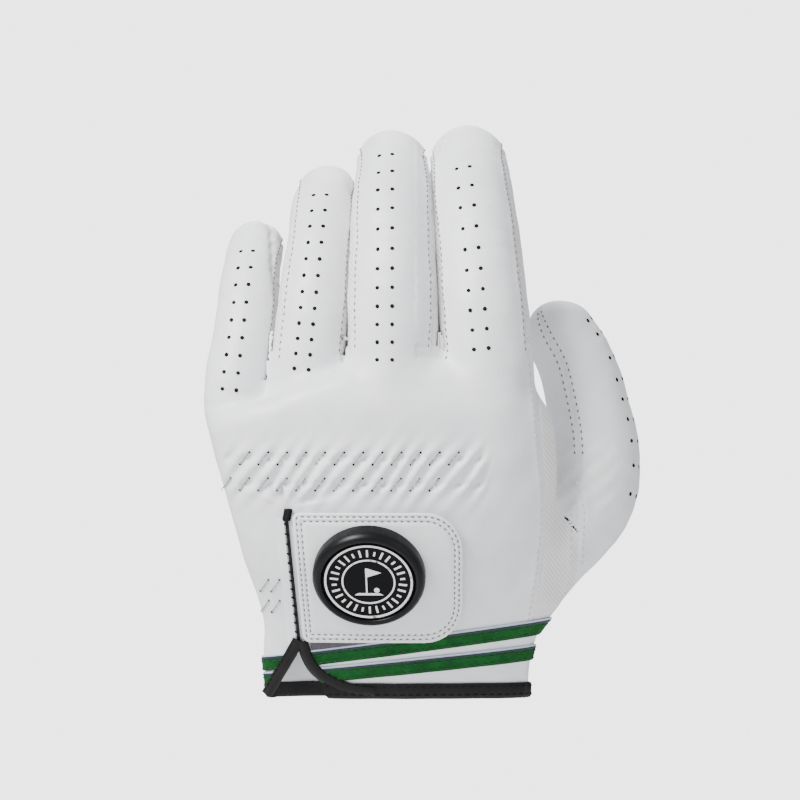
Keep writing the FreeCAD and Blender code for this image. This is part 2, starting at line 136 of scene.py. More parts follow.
def smooth_curve(stations: Array, values: Array, samples: int = 240) -> tuple[Array, Array]:
    """Cubic curve through values given at stations.

    Args:
        stations: rising parameter of each value.
        values: one value or point for each station.
        samples: number of points on the returned curve.

    Returns:
        The dense parameters and the values there.
    """
    slopes = np.gradient(values, stations, axis=0)
    dense = np.linspace(stations[0], stations[-1], samples)
    i = np.clip(np.searchsorted(stations, dense, side="right") - 1, 0, len(stations) - 2)
    span = stations[i + 1] - stations[i]
    t = (dense - stations[i]) / span
    shape = (slice(None),) + (None,) * (values.ndim - 1)
    t, span = t[shape], span[shape]
    h00 = (1 + 2 * t) * (1 - t) ** 2
    h10 = t * (1 - t) ** 2
    h01 = t * t * (3 - 2 * t)
    h11 = t * t * (t - 1)
    dense_values = h00 * values[i] + h10 * span * slopes[i] + h01 * values[i + 1] + h11 * span * slopes[i + 1]
    return dense, dense_values


class Ripple:
    """Seeded smooth noise made of a few plane waves; the same each run."""

    def __init__(self, seed: int, wavelength: float, waves: int = 7) -> None:
        """Choose the waves.

        Args:
            seed: random seed.
            wavelength: middle wavelength, mm.
            waves: how many waves are added up.
        """
        rng = np.random.default_rng(seed)
        directions = unit(rng.normal(size=(waves, 3)))
        lengths = wavelength * rng.uniform(0.7, 1.6, waves)
        self.vectors = directions * (2 * math.pi / lengths)[:, None]
        self.phases = rng.uniform(0, 2 * math.pi, waves)

    def __call__(self, p: Array) -> Array:
        """Noise between about -1 and 1 at points."""
        total = np.zeros(len(p))
        for vector, phase in zip(self.vectors, self.phases):
            total += np.sin(p @ vector + phase)
        return total / math.sqrt(len(self.phases)) * 0.8


# ---- the filled form
@dataclass
class Tube:
    """A finger as a round section swept along a bent centre line."""

    name: str
    places: Array
    radii: Array
    lateral: Array
    spans: int = 22

    def __post_init__(self) -> None:
        """Sample the centre line."""
        stations = np.concatenate([[0], np.cumsum(np.linalg.norm(np.diff(self.places, axis=0), axis=1))])
        self.arc, self.line = smooth_curve(stations, self.places, self.spans)
        self.line_radii = smooth_curve(stations, self.radii, self.spans)[1]
        self.stations = stations

    def measure(self, p: Array) -> tuple[Array, Array, Array]:
        """Distance to the skin, place along the finger and angle round it.

        Args:
            p: points, mm.

        Returns:
            Signed distance, arc length from the first station, and angle in degrees, where 0 is the
            thumb side and 90 is the palm side.
        """
        best = np.full(len(p), 1e9)
        along = np.zeros(len(p))
        angle = np.zeros(len(p))
        for i in range(len(self.line) - 1):
            a, b = self.line[i], self.line[i + 1]
            way = b - a
            length = np.linalg.norm(way)
            axis = way / length
            rel = p - a
            t = np.clip(rel @ axis / length, 0, 1)
            off = rel - t[:, None] * way
            radius = self.line_radii[i] * (1 - t) + self.line_radii[i + 1] * t
            distance = np.linalg.norm(off, axis=1) - radius
            nearer = distance < best
            best = np.where(nearer, distance, best)
            along = np.where(nearer, self.arc[i] + t * length, along)
            side = unit(self.lateral - axis * (self.lateral @ axis))
            palm = np.cross(axis, side)
            angle = np.where(nearer, np.degrees(np.arctan2(off @ palm, off @ side)), angle)
        return best, along, angle

    def radius_at(self, along: Array) -> Array:
        """Radius at a place along the finger."""
        return np.interp(along, self.arc, self.line_radii)


def finger_tube(name: str, radii: Sequence[float], tip_tilts: Sequence[float], tip_lengths: Sequence[float],
                root: float = 20.0) -> Tube:
    """Centre line of one finger from its joints in the record.

    Args:
        name: the finger.
        radii: at the base, knuckle, middle joint, last joint and tip.
        tip_tilts: tilt towards the palm before and after the last joint, degrees.
        tip_lengths: length before and after the last joint, mm.
        root: length inside the hand, mm.

    Returns:
        The finger's tube.
    """
    knuckle = joint_place(name + "_knuckle")
    middle = joint_place(name + "_bend")
    lateral = -joint_axis(name + "_knuckle")
    up = unit(np.cross(lateral, np.array([0.0, 1.0, 0.0])))
    places = [knuckle - (up * math.cos(math.radians(10)) - np.array([0, 0.17, 0])) * root, knuckle, middle]
    for tilt, length in zip(tip_tilts, tip_lengths):
        tilt = math.radians(tilt)
        places.append(places[-1] + (up * math.cos(tilt) + np.array([0, math.sin(tilt), 0])) * length)
    return Tube(name, np.array(places), np.array(radii), lateral)


class GloveForm:
    """Signed field of the filled glove in millimetres, negative inside."""

    levels = np.array([-8.0, 0.0, 12.0, 24.0, 45.0, 58.0, 70.0, 80.0, 90.0, 106.0])
    centre_x = np.array([-0.5, -0.5, -0.7, 0.6, -1.0, -2.2, -3.4, -4.5, -5.8, -7.0])
    centre_y = np.array([3.5, 0.0, -6.5, -13.0, -24.0, -29.3, -33.0, -35.8, -38.0, -40.0])
    half_width = np.array([40.0, 40.2, 41.0, 42.4, 46.8, 49.0, 50.8, 51.5, 51.9, 50.0])
    half_depth = np.array([9.5, 10.0, 12.4, 15.0, 19.0, 19.2, 19.0, 18.4, 17.4, 11.0])
    crotch_x = np.array([-70.0, -52.0, -37.5, -28.0, -15.0, -2.0, 12.0, 26.0, 46.0, 60.0])
    crotch_z = np.array([84.0, 88.0, 93.0, 98.0, 102.0, 104.0, 104.0, 102.0, 90.0, 84.0])

    def __init__(self) -> None:
        """Sample the hand's section curves and make the finger tubes."""
        self.table_z, self.table_x = smooth_curve(self.levels, self.centre_x)
        self.table_y = smooth_curve(self.levels, self.centre_y)[1]
        self.table_a = smooth_curve(self.levels, self.half_width)[1]
        self.table_b = smooth_curve(self.levels, self.half_depth)[1]
        self.fingers = {
            "index": finger_tube("index", (13.0, 13.8, 13.6, 12.8, 11.7), (37, 54), (23, 14.5)),
            "middle": finger_tube("middle", (12.6, 13.4, 13.0, 12.0, 10.8), (41, 60), (23.5, 14.5)),
            "ring": finger_tube("ring", (10.4, 11.0, 10.6, 9.9, 9.1), (42, 61), (21, 13.5)),
            "little": finger_tube("little", (5.0, 9.4, 9.4, 8.9, 8.3), (35, 52), (17.5, 12), 14.0),
        }
        spread = joint_place("thumb_spread")
        bend = joint_place("thumb_straighten")
        lateral = joint_axis("thumb_spread")
        tip = bend + np.array([-7.6, 0.0, 18.2])
        base = spread + np.array([-22.0, 0.0, -26.0])
        places = np.array([base, spread, bend, bend * 0.45 + tip * 0.55 + np.array([1.0, 0, 0.5]), tip])
        radii = np.array([15.6, 14.2, 12.4, 11.8, 11.0])
        self.thumb = Tube("thumb", places, radii, lateral)
        self.soft = Ripple(3, 26.0)
        self.fine = Ripple(11, 9.0)

    def section(self, z: Array) -> tuple[Array, Array, Array, Array]:
        """Centre x, centre y, half width and half depth of the hand at levels."""
        tables = (self.table_x, self.table_y, self.table_a, self.table_b)
        return tuple(np.interp(z, self.table_z, t) for t in tables)

    def hand(self, p: Array) -> Array:
        """Field of the hand without its fingers.

        Args:
            p: points, mm.

        Returns:
            Field, mm.
        """
        cx, cy, a, b = self.section(p[:, 2])
        qx = (p[:, 0] - cx) / a
        qy = (p[:, 1] - cy) / b
        k0 = np.maximum(np.sqrt(qx ** 2 + qy ** 2), 1e-6)
        k1 = np.maximum(np.sqrt((qx / a) ** 2 + (qy / b) ** 2), 1e-6)
        round_side = k0 * (k0 - 1) / k1
        top = (p[:, 2] - np.interp(p[:, 0], self.crotch_x, self.crotch_z)) * 0.9
        return -smooth_min(-round_side, -top, 6.0)

    def plain(self, p: Array, only: Optional[str] = None) -> Array:
        """Field without folds and seams.

        Args:
            p: points, mm.
            only: leave out every finger but this one.

        Returns:
            The field at each point.
        """
        total = self.hand(p)
        tubes = [self.thumb] + list(self.fingers.values())
        for tube in tubes:
            if only is not None and tube.name != only:
                continue
            low = tube.line.min(axis=0) - 24
            high = tube.line.max(axis=0) + 24
            near = np.all((p > low) & (p < high), axis=1)
            if near.any():
                value = total[near]
                width = 7.0 if tube.name == "thumb" else 4.0
                total[near] = smooth_min(value, tube.measure(p[near])[0], width)
        return total

    def relief(self, p: Array) -> Array:
        """Height of folds, puckers and seam pinches, outwards, mm.

        Args:
            p: points, mm.

        Returns:
            Height, mm.
        """
        x, z = p[:, 0], p[:, 2]
        cy = self.section(z)[1]
        back = step_up(cy - p[:, 1], 0.0, 5.0)
        height = 0.35 * self.soft(p) + 0.12 * self.fine(p)
        height += back * SHIRRING.height(x, z)
        return height

    def field(self, p: Array, only: Optional[str] = None) -> Array:
        """The finished leather's field."""
        return self.plain(p, only) - self.relief(p)


@dataclass(frozen=True)
class Shirring:
    """Gathered leather over the knuckle elastics and round the slit."""

    pitch: float = 5.7
    left: float = -52.0
    right: float = 25.0
    upper: float = 74.3
    lower: float = 66.5
    middle: float = 70.4
    lean_share: float = 0.75
    slit_x: float = -34.0
    slit_z: float = 59.5

    def fan(self, x: Array, z: Array) -> Array:
        """Folds that run out from the top of the slit.

        Args:
            x: x of the places, mm.
            z: z of the places, mm.

        Returns:
            Height, mm.
        """
        away = np.hypot(x - self.slit_x, z - self.slit_z)
        turn = np.degrees(np.arctan2(z - self.slit_z, x - self.slit_x))
        fade = step_up(away, 2.0, 7.0) * (1 - step_up(away, 9.0, 26.0)) * step_up(turn, 2.0, 14.0)
        fade = fade * (1 - step_up(turn, 150.0, 172.0))
        folds = np.cos(np.radians(turn) * 9.0) * 0.45 + 0.25 * np.cos(np.radians(turn) * 5.0 + 1.0)
        return fade * folds

    def height(self, x: Array, z: Array) -> Array:
        """Relief of the gathers at (x, z) on the back, mm.

        Args:
            x: x of the places, mm.
            z: z of the places, mm.

        Returns:
            Height, mm.
        """
        across = step_up(x, self.left - 3, self.left + 3) * (1 - step_up(x, self.right - 2, self.right + 3))
        waver = x - self.lean_share * (z - self.middle) + 0.8 * np.sin(x * 0.21)
        column = np.cos(2 * math.pi * waver / self.pitch)
        above, under = np.maximum(z - self.upper - 1, 0), np.maximum(self.lower - 1 - z, 0)
        fade = np.exp(-above / 2.2) * np.exp(-under / 3.0)
        rows = bell(z - self.upper, 1.3) + bell(z - self.lower, 1.3)
        gather = fade * (0.62 * column + 0.3) - 0.75 * rows * (0.75 - 0.25 * column)
        return across * gather + self.fan(x, z)


SHIRRING = Shirring()


# ---- skin meshing
def surface_net(values: Array, low: Array, step: float) -> tuple[Array, Array]:
    """Quads over the zero level of a sampled field.

    Args:
        values: field on a regular grid, negative inside.
        low: place of the first grid point.
        step: grid step.

    Returns:
        Points and quads that face outwards.
    """
    inside = values < 0
    corners = [(i, j, k) for i in (0, 1) for j in (0, 1) for k in (0, 1)]
    shape = tuple(n - 1 for n in values.shape)

    def shifted(array: Array, corner: tuple) -> Array:
        """The part of an array that starts at a cell's corner."""
        return array[tuple(slice(c, c + n) for c, n in zip(corner, shape))]

    count = sum(shifted(inside, c).astype(np.int8) for c in corners)
    mixed = (count > 0) & (count < 8)
    cells = np.argwhere(mixed)
    number = np.full(shape, -1, np.int64)
    number[mixed] = np.arange(len(cells))
    total = np.zeros((len(cells), 3))
    hits = np.zeros(len(cells))
    corner_values = {c: values[tuple((cells + c).T)] for c in corners}
    for a in corners:
        for axis in range(3):
            if a[axis]:
                continue
            b = tuple(1 if i == axis else a[i] for i in range(3))
            fa, fb = corner_values[a], corner_values[b]
            cross = (fa < 0) != (fb < 0)
            t = np.where(cross, fa / np.where(cross, fa - fb, 1), 0)
            place = np.array(a, float)[None, :].repeat(len(cells), 0)
            place[:, axis] += t
            total[cross] += place[cross]
            hits[cross] += 1
    points = low + (cells + total / hits[:, None]) * step
    quads = []
    for axis in range(3):
        u, v = (axis + 1) % 3, (axis + 2) % 3
        here = [slice(None)] * 3
        there = [slice(None)] * 3
        here[axis] = slice(0, -1)
        there[axis] = slice(1, None)
        change = inside[tuple(here)] != inside[tuple(there)]
        edge = np.argwhere(change)
        good = (edge[:, u] > 0) & (edge[:, v] > 0) & (edge[:, u] < shape[u]) & (edge[:, v] < shape[v])
        edge = edge[good]
        start_inside = inside[tuple(edge.T)]
        ring = []
        for du, dv in ((-1, -1), (0, -1), (0, 0), (-1, 0)):
            cell = edge.copy()
            cell[:, u] += du
            cell[:, v] += dv
            ring.append(number[tuple(cell.T)])
        ring = np.stack(ring, 1)
        ring[~start_inside] = ring[~start_inside][:, ::-1]
        quads.append(ring)
    quads = np.concatenate(quads)
    return points, quads[(quads >= 0).all(axis=1)]


def rough_slope(function: Callable[[Array], Array], p: Array, value: Array, reach: float = 0.2) -> Array:
    """One-sided gradient, given the value already known at the points.

    Args:
        function: field to sample.
        p: points, mm.
        value: field at the points.
        reach: step of the differences, mm.

    Returns:
        Slope at the points.
    """
    columns = []
    for axis in range(3):
        offset = np.zeros(3)
        offset[axis] = reach
        columns.append((function(p + offset) - value) / reach)
    return np.stack(columns, 1)


def gradient(function: Callable[[Array], Array], p: Array, reach: float = 0.25) -> Array:
    """Central-difference gradient of a field.

    Args:
        function: field to sample.
        p: points, mm.
        reach: step of the differences, mm.

    Returns:
        Gradient at the points.
    """
    columns = []
    for axis in range(3):
        offset = np.zeros(3)
        offset[axis] = reach
        columns.append((function(p + offset) - function(p - offset)) / (2 * reach))
    return np.stack(columns, 1)


def settle(function: Callable[[Array], Array], p: Array, rounds: int = 3) -> Array:
    """Points moved onto the zero level of a field.

    Args:
        function: field to sample.
        p: points, mm.
        rounds: number of steps.

    Returns:
        Points on the surface.
    """
    for _ in range(rounds):
        value = function(p)
        slope = rough_slope(function, p, value)
        square = np.maximum((slope ** 2).sum(axis=1), 0.05)
        move = np.clip(value / square, -1.0, 1.0)
        p = p - move[:, None] * slope
    return p


def sample_near(function: Callable[[Array], Array], low: Array, counts: Array, step: float) -> Array:
    """A field on a grid, worked out only near its zero level, and coarsely elsewhere.

    Args:
        function: field to sample.
        low: corner of the grid, mm.
        counts: cells on each axis.
        step: cell size, mm.

    Returns:
        Field on the grid.
    """
    block = 4
    coarse_counts = -(-counts // block) + 1
    axes = [low[i] + step * block * np.arange(coarse_counts[i]) for i in range(3)]
    grid = np.stack(np.meshgrid(*axes, indexing="ij"), -1).reshape(-1, 3)
    coarse = function(grid).reshape(coarse_counts)
    for axis in range(3):
        coarse = np.repeat(coarse, block, axis=axis)
    half = block // 2
    values = coarse[half:half + counts[0], half:half + counts[1], half:half + counts[2]].copy()
    near = np.argwhere(np.abs(values) < step * block * 1.3 + 1.0)
    values[tuple(near.T)] = function(low + near * step)
    return values


def mesh_form(rough: Callable[[Array], Array], exact: Callable[[Array], Array], low: Array, high: Array,
              step: float) -> tuple[Array, Array]:
    """Mesh the zero level of a field inside a box.

    Args:
        rough: the field without its relief, which gives the faces.
        exact: the finished field, onto which the points settle.
        low: lowest corner.
        high: highest corner.
        step: size of a face.

    Returns:
        Points and quads.
    """
    counts = np.ceil((high - low) / step).astype(int) + 1
    points, quads = surface_net(sample_near(rough, low, counts, step), low, step)
    return settle(exact, points), quads


# ---- shaders
class Sock:
    """A shader socket that takes part in arithmetic."""

    def __init__(self, shader: "Shader", link: bpy.types.NodeSocket) -> None:
        """Wrap an output socket."""
        self.shader = shader
        self.link = link

    def _with(self, operation: str, first: object, second: object) -> "Sock":
        """Result of one Math node."""
        made = self.shader.node("ShaderNodeMath", {"operation": operation}, {0: first, 1: second})
        return Sock(self.shader, made.outputs[0])

    def __add__(self, other: object) -> "Sock":
        """Sum."""
        return self._with("ADD", self, other)

    __radd__ = __add__

    def __mul__(self, other: object) -> "Sock":
        """Product."""
        return self._with("MULTIPLY", self, other)

    __rmul__ = __mul__

    def __sub__(self, other: object) -> "Sock":
        """Difference."""
        return self._with("SUBTRACT", self, other)

    def __rsub__(self, other: object) -> "Sock":
        """Difference the other way round."""
        return self._with("SUBTRACT", other, self)

    def __pow__(self, other: object) -> "Sock":
        """Power."""
        return self._with("POWER", self, other)

    def limited(self, low: float, high: float) -> "Sock":
        """Smooth 0 to 1 ramp between two input values."""
        values = {"Value": self, "From Min": low, "From Max": high}
        made = self.shader.node("ShaderNodeMapRange", {"interpolation_type": "SMOOTHSTEP"}, values)
        return Sock(self.shader, made.outputs[0])


class Shader:
    """A material's node tree, built node by node."""

    def __init__(self, name: str) -> None:
        """Start a material with only its output node.

        Args:
            name: name of the piece or finger.
        """
        self.material = bpy.data.materials.new(name)
        self.material.use_nodes = True
        self.tree = self.material.node_tree
        self.tree.nodes.clear()
        self.output = self.tree.nodes.new("ShaderNodeOutputMaterial")
        self.place = Sock(self, self.node("ShaderNodeTexCoord").outputs["Object"])

    def node(self, kind: str, settings: Optional[dict] = None,
             values: Optional[dict] = None) -> bpy.types.Node:
        """Make any node.

        Args:
            kind: node type.
            settings: properties set first, such as an operation, or a ramp's stops.
            values: value or link of each named or numbered input.

        Returns:
            The node.
        """
        made = self.tree.nodes.new(kind)
        for key, value in (settings or {}).items():
            if key == "stops":
                ramp = made.color_ramp
                ramp.elements[0].position, ramp.elements[0].color = value[0]
                ramp.elements[1].position, ramp.elements[1].color = value[-1]
                for position, colour in value[1:-1]:
                    ramp.elements.new(position).color = colour
            else:
                setattr(made, key, value)
        for key, value in (values or {}).items():
            if isinstance(value, Sock):
                self.tree.links.new(value.link, made.inputs[key])
            else:
                made.inputs[key].default_value = value
        return made

    def noise(self, size_mm: float, detail: float = 2.0, roughness: float = 0.5) -> Sock:
        """Noise with features of a size, from 0 to 1."""
        values = {"Vector": self.place, "Scale": 1 / (size_mm * MM), "Detail": detail, "Roughness": roughness}
        return Sock(self, self.node("ShaderNodeTexNoise", {}, values).outputs[0])

    def cells(self, size_mm: float, feature: str = "F1") -> Sock:
        """Distance to the nearest cell centre or edge."""
        values = {"Vector": self.place, "Scale": 1 / (size_mm * MM)}
        return Sock(self, self.node("ShaderNodeTexVoronoi", {"feature": feature}, values).outputs["Distance"])

    def stripes(self, pitch_mm: float, turn: tuple, bend: float = 0.0) -> Sock:
        """Parallel ridges, from 0 to 1.

        Args:
            pitch_mm: distance from ridge to ridge.
            turn: rotation of the pattern, radians about X, Y and Z.
            bend: distortion of the ridges.

        Returns:
            Height of the ridges.
        """
        mapped = self.node("ShaderNodeMapping", {}, {"Vector": self.place, "Rotation": turn})
        values = {"Vector": Sock(self, mapped.outputs[0]), "Scale": 1 / (pitch_mm * MM) * 0.05 * 2 * math.pi,
                  "Distortion": bend, "Detail": 1.0}
        return Sock(self, self.node("ShaderNodeTexWave", {"bands_direction": "X"}, values).outputs["Fac"])

    def blend(self, mask: object, first: tuple, second: tuple) -> Sock:
        """Colour between two colours by a mask."""
        made = self.node("ShaderNodeMix", {"data_type": "RGBA"}, {0: mask, 6: first + (1,), 7: second + (1,)})
        return Sock(self, made.outputs[2])

    def bump(self, height: Sock, depth_mm: float) -> Sock:
        """Normal of a height map whose range is a depth."""
        values = {"Height": height, "Distance": depth_mm * MM, "Strength": 1.0}
        return Sock(self, self.node("ShaderNodeBump", {}, values).outputs[0])

    def finish(self, values: dict) -> bpy.types.Material:
        """Close the tree with a Principled shader."""
        surface = self.node("ShaderNodeBsdfPrincipled", {}, values)
        self.tree.links.new(surface.outputs[0], self.output.inputs["Surface"])
        return self.material


class Pattern(Enum):
    """Relief patterns that a sheet of material can have."""

    GRAIN = "grain"
    RIB = "rib"
    SUEDE = "suede"
    TAPE = "tape"
    PILE = "pile"
    PLAIN = "plain"


@dataclass(frozen=True)
class Finish:
    """One material of the glove."""

    name: str
    colour: tuple
    # shade: the second colour, laid on partly as random tone and partly as painted shade in the relief's low
    # parts.
    shade: tuple
    pattern: Pattern = Pattern.PLAIN
    roughness: float = 0.5
    size_mm: float = 1.0
    depth_mm: float = 0.1
    metallic: float = 0.0
    coat: float = 0.0
    sheen: float = 0.0
    specular: float = 0.5

    def relief(self, s: Shader) -> Sock:
        """Height of the pattern, 0 to 1.

        Args:
            s: shader to add to.

        Returns:
            Height, 0 to 1.
        """
        if self.pattern is Pattern.GRAIN:
            creases = s.noise(self.size_mm * 7, 3.0, 0.6)
            pores = s.cells(self.size_mm, "SMOOTH_F1")
            return creases * 0.65 + pores * 0.25 + s.noise(self.size_mm * 0.45, 2.0) * 0.15
        if self.pattern is Pattern.RIB:
            ribs = s.stripes(self.size_mm, (0.0, math.radians(38), 0.0), 0.6)
            return ribs * 0.8 + s.noise(self.size_mm * 2.0, 3.0) * 0.3
        if self.pattern is Pattern.SUEDE:
            return s.noise(self.size_mm, 4.0, 0.7) * 0.7 + s.noise(self.size_mm * 4, 2.0) * 0.3
        if self.pattern is Pattern.TAPE:
            across = s.stripes(self.size_mm, (0.0, math.radians(90), 0.0), 0.2)
            return across * 0.6 + s.noise(self.size_mm * 0.8, 2.0) * 0.5
        if self.pattern is Pattern.PILE:
            return s.cells(self.size_mm) * 0.7 + s.noise(self.size_mm * 0.6, 3.0) * 0.6
        return s.noise(self.size_mm * 3, 3.0) * 0.5 + s.noise(self.size_mm, 2.0) * 0.4

    def build(self) -> bpy.types.Material:
        """Make the material.

        Returns:
            The material.
        """
        s = Shader(self.name)
        height = self.relief(s)
        # Base colour mask: random tone from noise, plus painted shade, darker where the relief pattern is low
        # (its hollows).
        mask = (s.noise(self.size_mm * 9, 4.0, 0.6) * 0.6 + height * 0.4).limited(0.25, 0.75)
        values = {
            "Base Color": s.blend(mask, self.shade, self.colour),
            "Roughness": self.roughness + (mask - 0.5) * -0.12,
            "Metallic": self.metallic,
            "Coat Weight": self.coat,
            "Coat Roughness": 0.15,
            "Specular IOR Level": self.specular,
            "Sheen Weight": self.sheen,
            "Sheen Roughness": 0.5,
            "Normal": s.bump(height, self.depth_mm),
        }
        return s.finish(values)


FINISHES = {
    f.name: f
    for f in (
        Finish("white_leather", (0.83, 0.835, 0.845), (0.76, 0.77, 0.79), Pattern.GRAIN, 0.46, 0.9, 0.16),
        Finish("strip_leather", (0.80, 0.79, 0.78), (0.74, 0.73, 0.725), Pattern.RIB, 0.6, 1.0, 0.14),
        Finish("black_binding", (0.011, 0.010, 0.011), (0.006, 0.006, 0.006),
               Pattern.SUEDE, 0.45, 0.7, 0.08, specular=0.12),
        Finish("green_suede", (0.010, 0.105, 0.020), (0.004, 0.045, 0.010),
               Pattern.SUEDE, 0.85, 0.6, 0.3, specular=0.1),
        Finish("navy_thread", (0.006, 0.012, 0.045), (0.004, 0.008, 0.03), Pattern.TAPE, 0.6, 0.4, 0.1),
        Finish("pale_edge", (0.55, 0.63, 0.72), (0.42, 0.5, 0.6), Pattern.TAPE, 0.6, 0.5, 0.1),
        Finish("loop_pile", (0.10, 0.09, 0.105), (0.045, 0.04, 0.05),
               Pattern.PILE, 0.9, 0.45, 0.35, sheen=0.1),
        Finish("hook_plastic", (0.72, 0.72, 0.70), (0.6, 0.6, 0.59), Pattern.PILE, 0.5, 0.6, 0.3),
        Finish("elastic_white", (0.74, 0.74, 0.73), (0.6, 0.6, 0.6), Pattern.TAPE, 0.7, 0.6, 0.15),
        Finish("white_thread", (0.62, 0.63, 0.66), (0.5, 0.51, 0.54), Pattern.TAPE, 0.6, 0.25, 0.05),
        # Thread colour, darkened partly as painted shade of the needle holes between the dotted stitches.
        Finish("grey_thread", (0.16, 0.165, 0.19), (0.09, 0.095, 0.11), Pattern.TAPE, 0.65, 0.25, 0.05),
        Finish("soft_thread", (0.36, 0.37, 0.4), (0.26, 0.27, 0.3), Pattern.TAPE, 0.65, 0.25, 0.05),
        Finish("black_thread", (0.008, 0.008, 0.009), (0.005, 0.005, 0.006),
               Pattern.TAPE, 0.55, 0.25, 0.05, specular=0.1),
        Finish("green_thread", (0.004, 0.035, 0.01), (0.002, 0.02, 0.006), Pattern.TAPE, 0.6, 0.25, 0.05),
        # Painted shade: this dark colour on small discs stands for the shade inside vent holes and needle
        # pricks.
        Finish("hole_dark", (0.015, 0.014, 0.016), (0.006, 0.006, 0.007),
               Pattern.PLAIN, 0.9, 0.3, 0.05, specular=0.05),
        Finish("badge_rubber", (0.006, 0.006, 0.007), (0.004, 0.004, 0.0045),
               Pattern.PLAIN, 0.34, 0.6, 0.02, specular=0.16),
        Finish("marker_enamel", (0.005, 0.005, 0.006), (0.004, 0.004, 0.005),
               Pattern.PLAIN, 0.4, 1.2, 0.01, specular=0.06),
        Finish("marker_white", (0.82, 0.82, 0.80), (0.74, 0.74, 0.73),
               Pattern.PLAIN, 0.35, 0.8, 0.01, coat=0.4),
        Finish("magnet_steel", (0.56, 0.56, 0.57), (0.45, 0.45, 0.46),
               Pattern.PLAIN, 0.35, 0.6, 0.02, metallic=1.0),
    )
}
_made: dict[str, bpy.types.Material] = {}


def material(name: str) -> bpy.types.Material:
    """The material of a finish, made once."""
    if name not in _made:
        _made[name] = FINISHES[name].build()
    return _made[name]


# ---- meshes and pieces
def make_object(name: str, points: Array, faces: Sequence, finish: str, normals: Optional[Array] = None,
                smooth: bool = True) -> bpy.types.Object:
    """An object from millimetre points.

    Args:
        name: object name.
        points: vertex places, mm.
        faces: vertex numbers of each face.
        finish: name of its finish.
        normals: vertex normals, if they are known better than the faces tell.
        smooth: shade it smooth.

    Returns:
        The object, at the origin.
    """
    mesh = bpy.data.meshes.new(name)
    mesh.from_pydata((points * MM).tolist(), [], [list(map(int, f)) for f in faces])
    mesh.validate()
    mesh.shade_smooth() if smooth else mesh.shade_flat()
    if normals is not None:
        mesh.normals_split_custom_set_from_vertices(normals.tolist())
    made = bpy.data.objects.new(name, mesh)
    bpy.context.scene.collection.objects.link(made)
    made.data.materials.append(material(finish))
    return made


def put(piece: bpy.types.Object, body: str, slot: str, *nodes: str) -> bpy.types.Object:
    """Fix a piece to a body and hide the nodes that it stands for.

    Args:
        piece: finished object.
        body: body that carries it.
        slot: not used.

    Returns:
        The same object.
    """
    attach(piece, body)
    if nodes:
        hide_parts(*nodes)
    LOG.info("%s rides %s, %d faces", piece.name, body, len(piece.data.polygons))
    return piece


def sheet_walls(points: Array, faces: Array, normals: Array, thickness: float) -> tuple[Array, list, Array]:
    """A closed sheet: the outer faces, the same faces turned and moved inwards, and a rim between them.

    Args:
        points: places, mm.
        faces: corner indices.
        normals: outward directions.
        thickness: wall, mm.

    Returns:
        Points, faces and normals.
    """
    count = len(points)
    inner = points - normals * thickness
    quads = [list(f) for f in faces]
    result = quads + [[v + count for v in reversed(f)] for f in quads]
    directed = set()
    for f in quads:
        for a, b in zip(f, f[1:] + f[:1]):
            directed.add((a, b))
    for a, b in directed:
        if (b, a) not in directed:
            result.append([b, a, a + count, b + count])
    return np.concatenate([points, inner]), result, np.concatenate([normals, -normals])


def pick(points: Array, faces: Array, keep: Array) -> tuple[Array, Array, Array]:
    """The chosen faces with only their own points, and which points those were."""
    chosen = faces[keep]
    used = np.unique(chosen)
    number = np.full(len(points), -1)
    number[used] = np.arange(len(used))
    return points[used], number[chosen], used


# ---- seams
@dataclass(frozen=True)
class SeamPlan:
    """Where the glove's panels meet, as curves over the level z, mm."""

    index_z: tuple = (-10.0, 4.0, 25.0, 40.0, 52.0, 64.0, 76.0, 91.0, 110.0)
    index_x: tuple = (38.5, 39.5, 40.5, 42.6, 44.0, 44.0, 42.4, 41.2, 39.6)
    thumb_z: tuple = (18.0, 24.0, 32.5, 43.0, 58.0, 69.0, 74.0, 90.0)
    thumb_x: tuple = (45.0, 49.0, 52.5, 54.2, 54.4, 51.6, 49.0, 48.0)
    vent_apex: tuple = (-31.0, 15.5)
    vent_left: float = -40.0
    vent_right: float = -18.5
    rim: float = 0.8

    def index(self, p: Array) -> Array:
        """Positive on the thumb side of the index seam."""
        return p[:, 0] - np.interp(p[:, 2], self.index_z, self.index_x)

    def thumb(self, p: Array) -> Array:
        """Positive on the thumb's side of its set-in seam."""
        return p[:, 0] - np.interp(p[:, 2], self.thumb_z, self.thumb_x)

    def vent(self, p: Array) -> Array:
        """Negative inside the vent at the cuff.

        Args:
            p: points, mm.

        Returns:
            Field, mm.
        """
        x, z = p[:, 0], p[:, 2]
        ax, az = self.vent_apex
        left = (x - ax) * az + (ax - self.vent_left) * (az - z)
        right = (ax - x) * az + (self.vent_right - ax) * (az - z)
        left = left / math.hypot(az, ax - self.vent_left)
        right = right / math.hypot(az, self.vent_right - ax)
        return np.maximum(-left, -right)


SEAMS = SeamPlan()
GUSSET_DEGREES = 30.0


